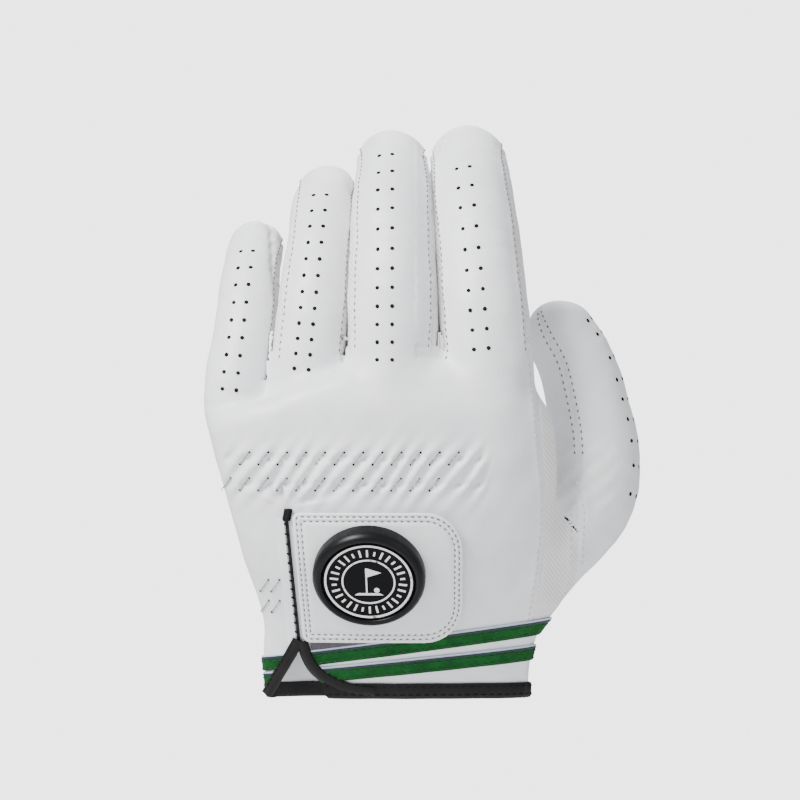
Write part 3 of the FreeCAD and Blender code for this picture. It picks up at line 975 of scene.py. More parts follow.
class Sewn(GloveForm):
    """The form with its seams: which panel a point belongs to, and how the leather pinches there."""

    crotch_clear = {"index": 106.5, "middle": 107.0, "ring": 105.0, "little": 97.0}
    bend_run = {"index": 15.0, "middle": 15.0, "ring": 13.0, "little": 9.5}

    def __init__(self) -> None:
        """Work out where each finger leaves the hand."""
        super().__init__()
        self.rings = {}
        for name, tube in self.fingers.items():
            knuckle, middle = tube.places[1], tube.places[2]
            way = unit(middle - knuckle)
            start = knuckle + way * ((self.crotch_clear[name] - knuckle[2]) / way[2])
            self.rings[name] = (start, way)
        spread, bend = self.thumb.places[1], self.thumb.places[2]
        way = unit(bend - spread)
        self.rings["thumb"] = (spread + way * 8.5, way)
        self.crotch_clear = dict(self.crotch_clear, thumb=spread[2] + 8.0)
        self.bend_run = dict(self.bend_run, thumb=8.5)

    def tube(self, name: str) -> Tube:
        """The tube of a finger or the thumb."""
        return self.thumb if name == "thumb" else self.fingers[name]

    def beyond(self, name: str, p: Array) -> Array:
        """Positive past the ring where a finger leaves the hand."""
        start, way = self.rings[name]
        return (p - start) @ way

    def crease(self, name: str, p: Array) -> Array:
        """Negative where a place belongs to the finger and not to the hand beside it."""
        return self.tube(name).measure(p)[0] - self.hand(p)

    def gusset(self, name: str, p: Array) -> tuple[Array, Array, Array]:
        """Distances from the gusset seams and the side line.

        Args:
            name: the finger.
            p: points, mm.

        Returns:
            Distance outside the outer gusset, outside the inner gusset, and towards the palm of the
            side line, all along the skin in mm.
        """
        tube = self.tube(name)
        _, along, angle = tube.measure(p)
        end = tube.arc[-1] + tube.line_radii[-1]
        over = np.maximum((p - tube.line[-1]) @ unit(tube.line[-1] - tube.line[-2]), 0)
        taper = np.sqrt(np.clip((end - 4.0 - along - over) / 16.0, 0, 1))
        half = GUSSET_DEGREES * taper
        radius = tube.radius_at(along) * math.pi / 180
        outer = (np.abs(angle) - half) * radius
        inner = (np.abs(180 - np.abs(angle)) - half) * radius
        side = np.sin(np.radians(angle)) * tube.radius_at(along)
        return outer, inner, side

    def split_y(self, p: Array) -> Array:
        """Positive on the palm side of the hand's side seams."""
        x, z = p[:, 0], p[:, 2]
        knuckles = [self.fingers[n].places[1] for n in ("little", "ring", "middle", "index")]
        row = np.interp(x, [k[0] for k in knuckles], [k[1] for k in knuckles])
        weight = step_up(z, 80.0, 92.0)
        return p[:, 1] - (self.section(z)[1] * (1 - weight) + row * weight)

    def relief(self, p: Array) -> Array:
        """Folds, gathers and the pinch of every seam.

        Args:
            p: points, mm.

        Returns:
            Height, mm.
        """
        height = super().relief(p)
        front = step_up(-self.split_y(p), -1.0, 3.0)
        z = p[:, 2]
        seam = self.index(p, front)
        height -= seam
        for name in ("index", "middle", "ring", "little", "thumb"):
            tube = self.tube(name)
            low, high = tube.line.min(axis=0) - 16, tube.line.max(axis=0) + 16
            near = np.all((p > low) & (p < high), axis=1)
            near &= self.beyond(name, p) > -6.0
            if not near.any():
                continue
            q = p[near]
            outer, inner, side = self.gusset(name, q)
            rise = step_up(self.beyond(name, q), -5.0, 2.0)
            if name == "thumb":
                distance = np.abs(side)
            elif name == "little":
                distance = np.abs(outer)
            else:
                distance = np.minimum(np.abs(outer), np.abs(inner))
            pucker = 1 + 0.35 * np.sin(q[:, 2] * 1.9 + outer)
            height[near] -= rise * (0.42 * bell(distance, 0.6) * pucker - 0.16 * bell(distance - 1.5, 0.9))
            if name != "thumb":
                height[near] += rise * self.knuckle_folds(name, q)
        cuff = 0.35 * np.sin(p[:, 0] * 0.42 + 1.2) * (1 - step_up(z, 6.0, 22.0))
        return height + cuff

    def index(self, p: Array, front: Array) -> Array:
        """Depth of the seams between the side strip and its neighbours.

        Args:
            p: points, mm.
            front: share that faces the back.

        Returns:
            Height, mm.
        """
        first = SEAMS.index(p)
        second = SEAMS.thumb(p)
        reach = step_up(p[:, 2], 19.0, 27.0) * (1 - step_up(p[:, 2], 70.0, 76.0))
        up = 1 - step_up(p[:, 2], 106.0, 110.0)
        line = 0.42 * bell(first, 0.6) - 0.15 * bell(first + 1.5, 0.9)
        welt = 0.65 * bell(second, 0.7) - 0.3 * bell(second + 1.8, 1.0) - 0.3 * bell(second - 1.8, 1.0)
        web = step_up(p[:, 2], 54.0, 62.0) * (1 - step_up(p[:, 2], 74.0, 82.0)) * step_up(p[:, 0], 45.0, 52.0)
        folds = 0.2 * web * np.sin((p[:, 2] * 0.9 - p[:, 0] * 0.7) * 1.1)
        return front * (line * up + welt * reach) + folds * (1 - step_up(p[:, 0], 62.0, 68.0))

    def knuckle_folds(self, name: str, q: Array) -> Array:
        """Soft creases over and under a finger's middle joint.

        Args:
            name: finger name.
            q: points, mm.

        Returns:
            Height, mm.
        """
        tube = self.tube(name)
        _, along, angle = tube.measure(q)
        middle = tube.stations[2]
        back = np.clip(-np.sin(np.radians(angle)), 0, 1)
        palm = np.clip(np.sin(np.radians(angle)), 0, 1)
        creases = bell(along - middle, 1.2) + 0.7 * bell(along - middle + 5.0, 1.0)
        creases = creases + 0.6 * bell(along - middle - 5.0, 1.1)
        last = bell(along - tube.stations[3], 1.1)
        under = bell(along - middle, 1.6) + 0.8 * bell(along - middle - 4.0, 1.2) + last
        return -0.22 * back * (creases + 0.6 * last) - 0.55 * palm * under


# ---- the leather skin
STEP = 0.85
SHEET = 0.8
HAND_PANELS = ("back_panel", "palm_panel", "index_side_strip", "thumb_base")
FINGER_PARTS = ("back", "palm", "gusset_outer", "gusset_inner")


@dataclass
class LeatherSkin:
    """Every leather panel of the hand, the fingers and the thumb."""

    form: Sewn
    pieces: dict = field(default_factory=dict)
    tuck: float = 1.2

    def snapped(self, p: Array, chosen: Array, level: Callable, skin: Callable) -> Array:
        """Move chosen points along the skin onto a seam's level line.

        Args:
            p: points, mm.
            chosen: indices of the points to move.
            level: field that is zero on the seam.
            skin: field to stay on.

        Returns:
            Moved points.
        """
        q = p[chosen]
        for _ in range(3):
            slope = gradient(level, q, 0.1)
            across = unit(gradient(skin, q))
            slope = slope - (slope * across).sum(axis=1, keepdims=True) * across
            square = np.maximum((slope ** 2).sum(axis=1), 0.2)
            move = np.clip(level(q) / square, -STEP, STEP)
            q = settle(skin, q - move[:, None] * slope, 1)
        p = p.copy()
        p[chosen] = q
        return p

    def ringed(self, p: Array, chosen: Array, name: str, skin: Callable) -> Array:
        """Move the border between the hand and a finger onto the finger's ring."""
        at_ring = np.abs(self.form.beyond(name, p[chosen])) < STEP * 1.2
        if at_ring.any():
            p = self.snapped(p, chosen[at_ring], lambda q: self.form.beyond(name, q), skin)
        return p

    def between(self, faces: Array, labels: Array, a: int, b: int, count: int) -> Array:
        """Points shared by faces of two labels."""
        has_a = np.zeros(count, bool)
        has_b = np.zeros(count, bool)
        has_a[faces[labels == a].ravel()] = True
        has_b[faces[labels == b].ravel()] = True
        return np.flatnonzero(has_a & has_b)

    def hand(self) -> None:
        """Mesh the hand and cut it into its panels."""
        form = self.form
        low = np.array([-62.0, -62.0, -3.0])
        high = np.array([78.0, 10.0, 112.0])
        points, faces = mesh_form(form.plain, form.field, low, high, STEP)
        centres = points[faces].mean(axis=1)
        labels = np.zeros(len(faces), int)
        palm = form.split_y(centres) > 0
        thumb_distance = form.thumb.measure(centres)[0] - form.hand(centres)
        labels[palm] = 1
        front_thumb = (SEAMS.thumb(centres) > 0) & ~palm & (centres[:, 2] > 21) & (centres[:, 2] < 76)
        strip = (SEAMS.index(centres) > 0) & ~palm & (centres[:, 2] < 103) & ~front_thumb
        labels[strip] = 2
        back_thumb = (thumb_distance < 0.5) & (palm | (centres[:, 0] > 60))
        labels[front_thumb | back_thumb] = 3
        for name in form.rings:
            beyond = form.beyond(name, centres) > 0
            reach, spare = (2.6, 1.2) if name == "thumb" else (0.8, 0.0)
            near = form.tube(name).measure(centres)[0] < reach
            labels[beyond & near & (form.crease(name, centres) < -spare)] = -1
        labels[centres[:, 2] < SEAMS.rim] = -2
        labels[(SEAMS.vent(centres) < 0) & ~palm] = -3
        seams = [(0, 1, form.split_y), (0, 2, SEAMS.index), (2, 3, SEAMS.thumb)]
        seams += [(k, -2, lambda q: q[:, 2] - SEAMS.rim) for k in (0, 1, 2)] + [(0, -3, SEAMS.vent)]
        for a, b, level in seams:
            points = self.snapped(points, self.between(faces, labels, a, b, len(points)), level, form.field)
        for k in range(4):
            shared = self.between(faces, labels, k, -1, len(points))
            for name in form.rings:
                own = shared[np.abs(form.tube(name).measure(points[shared])[0]) < 3.0]
                points = self.ringed(points, own, name, form.field)
        normals = unit(gradient(form.field, points))
        slots = ("white_leather", "white_leather", "strip_leather", "white_leather")
        for k, (name, slot) in enumerate(zip(HAND_PANELS, slots)):
            piece = self.panel(name + "_leather", points, faces, labels == k, normals, slot)
            self.pieces[name] = put(piece, "hand", slot, name)

    def panel(self, name: str, points: Array, faces: Array, keep: Array, normals: Array,
              finish: str) -> bpy.types.Object:
        """One closed leather sheet from the chosen faces."""
        own, own_faces, used = pick(points, faces, keep)
        walls, wall_faces, wall_normals = sheet_walls(own, own_faces, normals[used], SHEET)
        return make_object(name, walls, wall_faces, finish, wall_normals)

    def finger(self, name: str) -> None:
        """Mesh one finger or the thumb and cut it into its sewn parts before and after its middle joint.

        Args:
            name: finger name.
        """
        form = self.form
        tube = form.tube(name)
        start, way = form.rings[name]
        skin = lambda q: form.field(q, name)
        low = np.minimum(start, tube.line[8:].min(axis=0)) - 19
        high = tube.line[8:].max(axis=0) + 16
        points, faces = mesh_form(lambda q: form.plain(q, name), skin, low, high, STEP)
        centres = points[faces].mean(axis=1)
        along = tube.measure(centres)[1]
        outer, inner, side = form.gusset(name, centres)
        labels = np.where(side > 0, 1, 0)
        if name != "thumb":
            labels[outer < 0] = 2
            if name != "little":
                labels[inner < 0] = 3
        split = np.linalg.norm(start - tube.places[1]) + form.bend_run[name] + 1.0 + tube.stations[1]
        past = along > split
        labels = labels + np.where(past, 4, 0)
        gone = (form.beyond(name, centres) < 0) | (form.crease(name, centres) > self.tuck)
        labels[gone] = -1
        levels = [lambda q: form.gusset(name, q)[2], lambda q: form.gusset(name, q)[0],
                  lambda q: form.gusset(name, q)[1]]
        for base in (0, 4):
            pairs = [(0, 1, 0), (0, 2, 1), (1, 2, 1), (0, 3, 2), (1, 3, 2)]
            for a, b, which in pairs:
                shared = self.between(faces, labels, a + base, b + base, len(points))
                if len(shared):
                    points = self.snapped(points, shared, levels[which], skin)
        for k in range(4):
            shared = self.between(faces, labels, k, k + 4, len(points))
            if len(shared):
                points = self.snapped(points, shared, lambda q: tube.measure(q)[1] - split, skin)
            shared = self.between(faces, labels, k, -1, len(points))
            points = self.ringed(points, shared, name, skin)
        normals = unit(gradient(skin, points))
        under = np.clip(form.crease(name, points) + STEP, 0, 1) * (form.beyond(name, points) > -STEP)
        points = points - normals * (0.3 * under * (form.crease(name, points) < 3.0))[:, None]
        for k in range(8):
            if not (labels == k).any():
                continue
            self.finger_part(name, k, points, faces, labels == k, normals)

    def finger_part(self, name: str, k: int, points: Array, faces: Array, keep: Array,
                    normals: Array) -> None:
        """One sewn part of a finger, bent with the joint that it crosses.

        Args:
            name: finger name.
            k: label of the part.
            points: places, mm.
            faces: corner indices.
            keep: mask of the chosen faces.
            normals: outward directions.
        """
        stage = "tip" if k >= 4 else "first"
        part = FINGER_PARTS[k % 4]
        if name == "little" and part == "gusset_outer":
            part = "gusset"
        node = f"{name}_{stage}_{part}"
        finish = "strip_leather" if "gusset" in part else "white_leather"
        piece = self.panel(node + "_leather", points, faces, keep, normals, finish)
        self.bend(piece, name, stage)
        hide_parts(node)
        self.pieces[node] = piece
        LOG.info("%s bends, %d faces", piece.name, len(piece.data.polygons))

    def bend(self, piece: bpy.types.Object, name: str, stage: str) -> None:
        """Blend a piece across the joint of its stage.

        Args:
            piece: finished object.
            name: finger name.
            stage: first or tip.
        """
        form = self.form
        tube = form.tube(name)
        if stage == "first":
            start, way = form.rings[name]
            begin = start + way * 0.3
            end = begin + way * form.bend_run[name]
            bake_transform(piece, "hand", name + "_first", tuple(begin * MM), tuple(end * MM))
            return
        before = unit(tube.places[2] - tube.places[1])
        after = unit(tube.places[3] - tube.places[2])
        reach = 0.26 * float(np.linalg.norm(tube.places[2] - tube.places[1]))
        begin = tube.places[2] - before * reach
        end = tube.places[2] + after * reach
        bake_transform(piece, name + "_first", name + "_tip", tuple(begin * MM), tuple(end * MM))

    def build(self) -> None:
        """Make every leather piece."""
        self.hand()
        for name in ("index", "middle", "ring", "little", "thumb"):
            self.finger(name)


# ---- draping trim over the leather
def rounded_outline(corners: Sequence, radii: Sequence[float], inset: float, arc: int = 9,
                    edge: int = 42) -> Array:
    """Points of an outline with round corners, moved inwards.

    Args:
        corners: (x, z) of each corner, anticlockwise.
        radii: radius of each corner.
        inset: distance inwards, mm.
        arc: points on each corner.
        edge: points on each side.

    Returns:
        The outline's points, the same number for every inset.
    """
    corners = np.array(corners, float)
    count = len(corners)
    share = np.linspace(0, 1, arc)[:, None]
    turns = []
    for i in range(count):
        a = unit(corners[i - 1] - corners[i])
        b = unit(corners[(i + 1) % count] - corners[i])
        half = math.acos(float(np.clip(a @ b, -1, 1))) / 2
        middle = unit(a + b)
        radius = max(radii[i] - inset, 0.05)
        corner = corners[i] + middle * inset / math.sin(half)
        centre = corner + middle * radius / math.sin(half)
        first = (corner + a * radius / math.tan(half) - centre) / radius
        last = (corner + b * radius / math.tan(half) - centre) / radius
        angle = math.pi - 2 * half
        bow = (np.sin((1 - share) * angle) * first + np.sin(share * angle) * last) / math.sin(angle)
        turns.append(centre + bow * radius)
    share = np.linspace(0, 1, edge + 2)[1:-1, None]
    result = []
    for i in range(count):
        start, stop = turns[i][-1], turns[(i + 1) % count][0]
        result += [turns[i], start + (stop - start) * share]
    return np.concatenate(result)


def resample(points: Array, pitch: float) -> tuple[Array, Array]:
    """Evenly spaced places on a polyline, and the way it runs there.

    Args:
        points: places, mm.
        pitch: spacing, mm.

    Returns:
        Places and directions.
    """
    arc = np.concatenate([[0], np.cumsum(np.linalg.norm(np.diff(points, axis=0), axis=1))])
    count = max(int(arc[-1] / pitch), 1)
    wanted = (np.arange(count) + 0.5) * arc[-1] / count
    places = np.stack([np.interp(wanted, arc, points[:, i]) for i in range(points.shape[1])], 1)
    ahead = np.stack([np.interp(wanted + 0.3, arc, points[:, i]) for i in range(points.shape[1])], 1)
    behind = np.stack([np.interp(wanted - 0.3, arc, points[:, i]) for i in range(points.shape[1])], 1)
    return places, unit(ahead - behind)


@dataclass
class Drape:
    """Finds places on the leather for trim and thread."""

    form: Sewn

    def bisect(self, place: Callable[[Array], Array], outside: Array, inside: Array, lift: Array,
               exact: bool = True) -> Array:
        """Places where a field reaches a lift, between one end outside and one inside.

        Args:
            place: gives the places.
            outside: start outside the leather.
            inside: start inside it.
            lift: height over the leather, mm.
            exact: with the relief.

        Returns:
            Places on the leather.
        """
        level = self.form.field if exact else self.form.plain
        for _ in range(17):
            middle = (outside + inside) / 2
            deep = level(place(middle)) < lift
            inside = np.where(deep, middle, inside)
            outside = np.where(deep, outside, middle)
        return place((outside + inside) / 2)

    def on_back(self, x: Array, z: Array, lift: Array, exact: bool = True) -> Array:
        """Places over (x, z) on the back of the hand, lifted off the leather."""
        deep = self.form.section(z)[1]
        return self.bisect(lambda t: np.stack([x, t, z], 1), np.full(len(x), -80.0), deep, lift, exact)

    def around(self, turn: Array, level: Callable[[Array], Array], lift: Array) -> Array:
        """Places round the wrist at turns about its middle; the level depends on x.

        Args:
            turn: turns about the middle.
            level: gives the level at each x.
            lift: height over the leather, mm.

        Returns:
            Places, mm.
        """
        def place(t: Array) -> Array:
            """Places at distances from the wrist's middle."""
            x = -0.5 + t * np.cos(turn)
            z = level(x)
            return np.stack([x, self.form.section(z)[1] + t * np.sin(turn) * 0.5, z], 1)
        return self.bisect(place, np.full(len(turn), 90.0), np.zeros(len(turn)), lift)

    def on_finger(self, name: str, along: Array, angle: Array, lift: float = 0.0) -> Array:
        """Places on a finger's skin, also past the middle of its tip.

        Args:
            name: finger name.
            along: distance along the finger, mm.
            angle: turn about the finger, degrees.
            lift: height over the leather, mm.

        Returns:
            Places, mm.
        """
        tube = self.form.tube(name)
        core = np.clip(along, tube.arc[0], tube.arc[-1])
        centre = np.stack([np.interp(core, tube.arc, tube.line[:, i]) for i in range(3)], 1)
        ways = unit(np.gradient(tube.line, tube.arc, axis=0))
        axis = unit(np.stack([np.interp(core, tube.arc, ways[:, i]) for i in range(3)], 1))
        side = unit(tube.lateral - axis * (axis @ tube.lateral)[:, None])
        palm = np.cross(axis, side)
        rise = np.clip((along - core) / tube.line_radii[-1], 0, 0.995)
        turn = np.radians(angle)
        out = side * np.cos(turn)[:, None] + palm * np.sin(turn)[:, None]
        out = out * np.sqrt(1 - rise ** 2)[:, None] + axis * rise[:, None]
        zero = np.zeros(len(along))
        level = lambda t: centre + out * t[:, None]
        inside, outside = zero, zero + 26.0
        for _ in range(17):
            middle = (outside + inside) / 2
            deep = self.form.field(level(middle), name) < lift
            inside = np.where(deep, middle, inside)
            outside = np.where(deep, outside, middle)
        return level((outside + inside) / 2)

    def ups(self, points: Array, exact: bool = True) -> Array:
        """Outward directions at places on the skin."""
        return unit(gradient(self.form.field if exact else self.form.plain, points))


def finish_mesh(made: bpy.types.Object, sharp: float = 40.0) -> bpy.types.Object:
    """Weld a mesh, turn its faces outwards and keep its hard edges.

    Args:
        made: object to finish.
        sharp: angle of a kept edge, degrees.

    Returns:
        The same object.
    """
    work = bmesh.new()
    work.from_mesh(made.data)
    bmesh.ops.remove_doubles(work, verts=work.verts, dist=0.002 * MM)
    bmesh.ops.recalc_face_normals(work, faces=work.faces)
    work.to_mesh(made.data)
    work.free()
    made.data.shade_smooth()
    made.data.set_sharp_from_angle(angle=math.radians(sharp))
    return made


def sweep(name: str, place: Callable[[Array, Array, Array], Array], stations: Array, profile: Sequence,
          finish: str) -> bpy.types.Object:
    """A closed band: a profile of (across, lift) carried along its stations.

    Args:
        name: name of the piece or finger.
        place: gives the places.
        stations: values along the sweep.
        profile: (across, lift) section.
        finish: key in FINISHES.

    Returns:
        The swept object.
    """
    profile = np.array(profile, float)
    rows, count = len(stations), len(profile)
    points = place(np.repeat(stations, count), np.tile(profile[:, 0], rows), np.tile(profile[:, 1], rows))
    faces = []
    for i in range(rows - 1):
        for k in range(count):
            m = (k + 1) % count
            faces.append([i * count + k, (i + 1) * count + k, (i + 1) * count + m, i * count + m])
    faces.append(list(range(count)))
    faces.append([(rows - 1) * count + k for k in reversed(range(count))])
    return finish_mesh(make_object(name, points, faces, finish))


def rotation_body(name: str, centre: Array, out: Array, profile: Sequence, finish: str, turns: int = 96,
                  foot: Optional[Callable[[Array], Array]] = None) -> bpy.types.Object:
    """A body turned about an axis, from a profile of (radius, height).

    Args:
        name: object name.
        centre: place where the height is zero.
        out: the axis.
        profile: closed when both its ends have radius zero.
        finish: name of its finish.
        turns: number of sides.
        foot: places of the first row, when it follows another surface.

    Returns:
        The object.
    """
    across = unit(np.cross(np.array([0.0, 0.0, 1.0]), out))
    up = np.cross(out, across)
    angles = np.arange(turns) * 2 * math.pi / turns
    ring = across * np.cos(angles)[:, None] + up * np.sin(angles)[:, None]
    rows = [centre + ring * radius + out * height for radius, height in profile]
    if foot is not None:
        outer = profile[0][0]
        rows[0] = foot(rows[0])
        rows = [foot(centre + ring * outer * share) for share in (0.02, 0.3, 0.6, 0.85)] + rows
    points = np.concatenate(rows)
    faces = []
    for k in range(len(rows) - 1):
        for i in range(turns):
            j = (i + 1) % turns
            faces.append([k * turns + i, k * turns + j, (k + 1) * turns + j, (k + 1) * turns + i])
    faces.append(list(reversed(range(turns))))
    faces.append([(len(rows) - 1) * turns + i for i in range(turns)])
    return finish_mesh(make_object(name, points, faces, finish), 50.0)


@dataclass(frozen=True)
class Panel:
    """A flat sheet with a rounded outline, laid over the back of the hand."""

    corners: tuple
    radii: tuple
    spine: tuple

    def row(self, inset: float, inward: float) -> Array:
        """Outline at an inset, then drawn in towards the spine by a share."""
        edge = rounded_outline(self.corners, self.radii, inset)
        first, last = np.array(self.spine[0], float), np.array(self.spine[1], float)
        way = last - first
        t = np.clip((edge - first) @ way / (way @ way), 0, 1)
        return edge + (first + t[:, None] * way - edge) * inward

    def build(self, name: str, drape: Drape, edge: Sequence, finish: str,
              exact: bool = False) -> bpy.types.Object:
        """Make the sheet.

        Args:
            name: object name.
            drape: finds the places on the back.
            edge: (inset, lift) from the underside, round the edge, to the top.
            finish: name of its finish.
            exact: follow the leather's folds as well.

        Returns:
            The object.
        """
        shares = (0.25, 0.5, 0.75, 1.0)
        rows = [(edge[0][0], share, edge[0][1]) for share in reversed(shares)]
        rows += [(inset, 0.0, lift) for inset, lift in edge]
        rows += [(edge[-1][0], share, edge[-1][1]) for share in shares]
        flat = np.concatenate([self.row(inset, inward) for inset, inward, _ in rows])
        count = len(flat) // len(rows)
        lift = np.repeat([r[2] for r in rows], count)
        points = drape.on_back(flat[:, 0], flat[:, 1], lift, exact)
        faces = []
        for k in range(len(rows) - 1):
            for i in range(count):
                j = (i + 1) % count
                faces.append([k * count + i, k * count + j, (k + 1) * count + j, (k + 1) * count + i])
        return finish_mesh(make_object(name, points, faces, finish), 60.0)


# ---- thread, and dark discs of painted shade for holes
class Shape(Enum):
    """Small shapes that are repeated."""

    THREAD = "thread"
    HOLE = "hole"


@dataclass(frozen=True)
class Repeat:
    """One repeated shape: its size in millimetres and what it is made of."""

    name: str
    shape: Shape
    size: tuple
    finish: str
    slot: str


SEAM = Repeat("seam_stitch", Shape.THREAD, (1.5, 0.5, 0.42), "white_thread", "white_leather")
# DOTS: stitches in dark grey that partly paint the shade of their needle holes.
DOTS = Repeat("gusset_stitch", Shape.THREAD, (1.05, 0.5, 0.4), "grey_thread", "white_leather")
STROKE = Repeat("gather_stitch", Shape.THREAD, (2.3, 0.42, 0.42), "soft_thread", "white_leather")
# PRICK and HOLE are dark discs laid on the leather: painted shade for needle holes and vent holes.
PRICK = Repeat("gather_prick", Shape.HOLE, (0.75, 0.75, 0.2), "hole_dark", "white_leather")
OVERCAST = Repeat("overcast_stitch", Shape.THREAD, (1.7, 0.6, 0.5), "black_thread", "black_binding")
TACK = Repeat("tack_stitch", Shape.THREAD, (2.9, 0.85, 0.9), "black_thread", "black_binding")
BLACK = Repeat("binding_stitch", Shape.THREAD, (1.7, 0.5, 0.42), "black_thread", "black_binding")
GREEN = Repeat("trim_stitch", Shape.THREAD, (1.6, 0.42, 0.4), "green_thread", "green_trim")
# Painted shade of a vent hole, as a dark disc.
HOLE = Repeat("vent_hole", Shape.HOLE, (1.25, 1.25, 0.24), "hole_dark", "white_leather")


class RepeatTree:
    """Geometry-node tree that sets one small shape on every point of a mesh."""

    def __init__(self, shape: Shape) -> None:
        """Build the tree of a shape.

        Args:
            shape: shape that is repeated.
        """
        tree = bpy.data.node_groups.new("repeat_" + shape.value, "GeometryNodeTree")
        face = tree.interface
        face.new_socket("Points", in_out="INPUT", socket_type="NodeSocketGeometry")
        self.size = face.new_socket("Size", in_out="INPUT", socket_type="NodeSocketVector").identifier
        self.surface = face.new_socket("Surface", in_out="INPUT", socket_type="NodeSocketMaterial").identifier
        face.new_socket("Result", in_out="OUTPUT", socket_type="NodeSocketGeometry")
        self.tree = tree
        start = tree.nodes.new("NodeGroupInput")
        end = tree.nodes.new("NodeGroupOutput")
        if shape is Shape.THREAD:
            solid = tree.nodes.new("GeometryNodeMeshUVSphere")
            solid.inputs["Segments"].default_value = 7
            solid.inputs["Rings"].default_value = 5
            solid.inputs["Radius"].default_value = 0.5
        else:
            solid = tree.nodes.new("GeometryNodeMeshCylinder")
            solid.inputs["Vertices"].default_value = 12
            solid.inputs["Radius"].default_value = 0.5
            solid.inputs["Depth"].default_value = 1.0
        lean = self.aligned("Z", "up", None)
        turn = self.aligned("X", "way", lean)
        spread = tree.nodes.new("FunctionNodeRandomValue")
        spread.data_type = "FLOAT_VECTOR"
        spread.inputs["Min"].default_value = (0.9, 0.94, 0.94)
        spread.inputs["Max"].default_value = (1.08, 1.05, 1.05)
        spread.inputs["Seed"].default_value = 5
        sized = tree.nodes.new("ShaderNodeVectorMath")
        sized.operation = "MULTIPLY"
        put_on = tree.nodes.new("GeometryNodeInstanceOnPoints")
        real = tree.nodes.new("GeometryNodeRealizeInstances")
        smooth = tree.nodes.new("GeometryNodeSetShadeSmooth")
        smooth.inputs["Shade Smooth"].default_value = shape is Shape.THREAD
        coat = tree.nodes.new("GeometryNodeSetMaterial")
        link = tree.links.new
        link(start.outputs["Size"], sized.inputs[0])
        link(spread.outputs["Value"], sized.inputs[1])
        link(start.outputs["Points"], put_on.inputs["Points"])
        link(solid.outputs["Mesh"], put_on.inputs["Instance"])
        link(turn.outputs["Rotation"], put_on.inputs["Rotation"])
        link(sized.outputs["Vector"], put_on.inputs["Scale"])
        link(put_on.outputs["Instances"], real.inputs["Geometry"])
        link(real.outputs["Geometry"], smooth.inputs["Geometry"])
        link(smooth.outputs["Geometry"], coat.inputs["Geometry"])
        link(start.outputs["Surface"], coat.inputs["Material"])
        link(coat.outputs["Geometry"], end.inputs["Result"])

    def aligned(self, axis: str, attribute: str, before: Optional[bpy.types.Node]) -> bpy.types.Node:
        """A rotation that turns an axis towards a vector stored on the points.

        Args:
            axis: axis to align.
            attribute: point attribute to follow.
            before: node of the rotation to start from.

        Returns:
            The rotation's node.
        """
        stored = self.tree.nodes.new("GeometryNodeInputNamedAttribute")
        stored.data_type = "FLOAT_VECTOR"
        stored.inputs["Name"].default_value = attribute
        turn = self.tree.nodes.new("FunctionNodeAlignRotationToVector")
        turn.axis = axis
        if before is not None:
            turn.pivot_axis = "Z"
            self.tree.links.new(before.outputs["Rotation"], turn.inputs["Rotation"])
        self.tree.links.new(stored.outputs["Attribute"], turn.inputs["Vector"])
        return turn


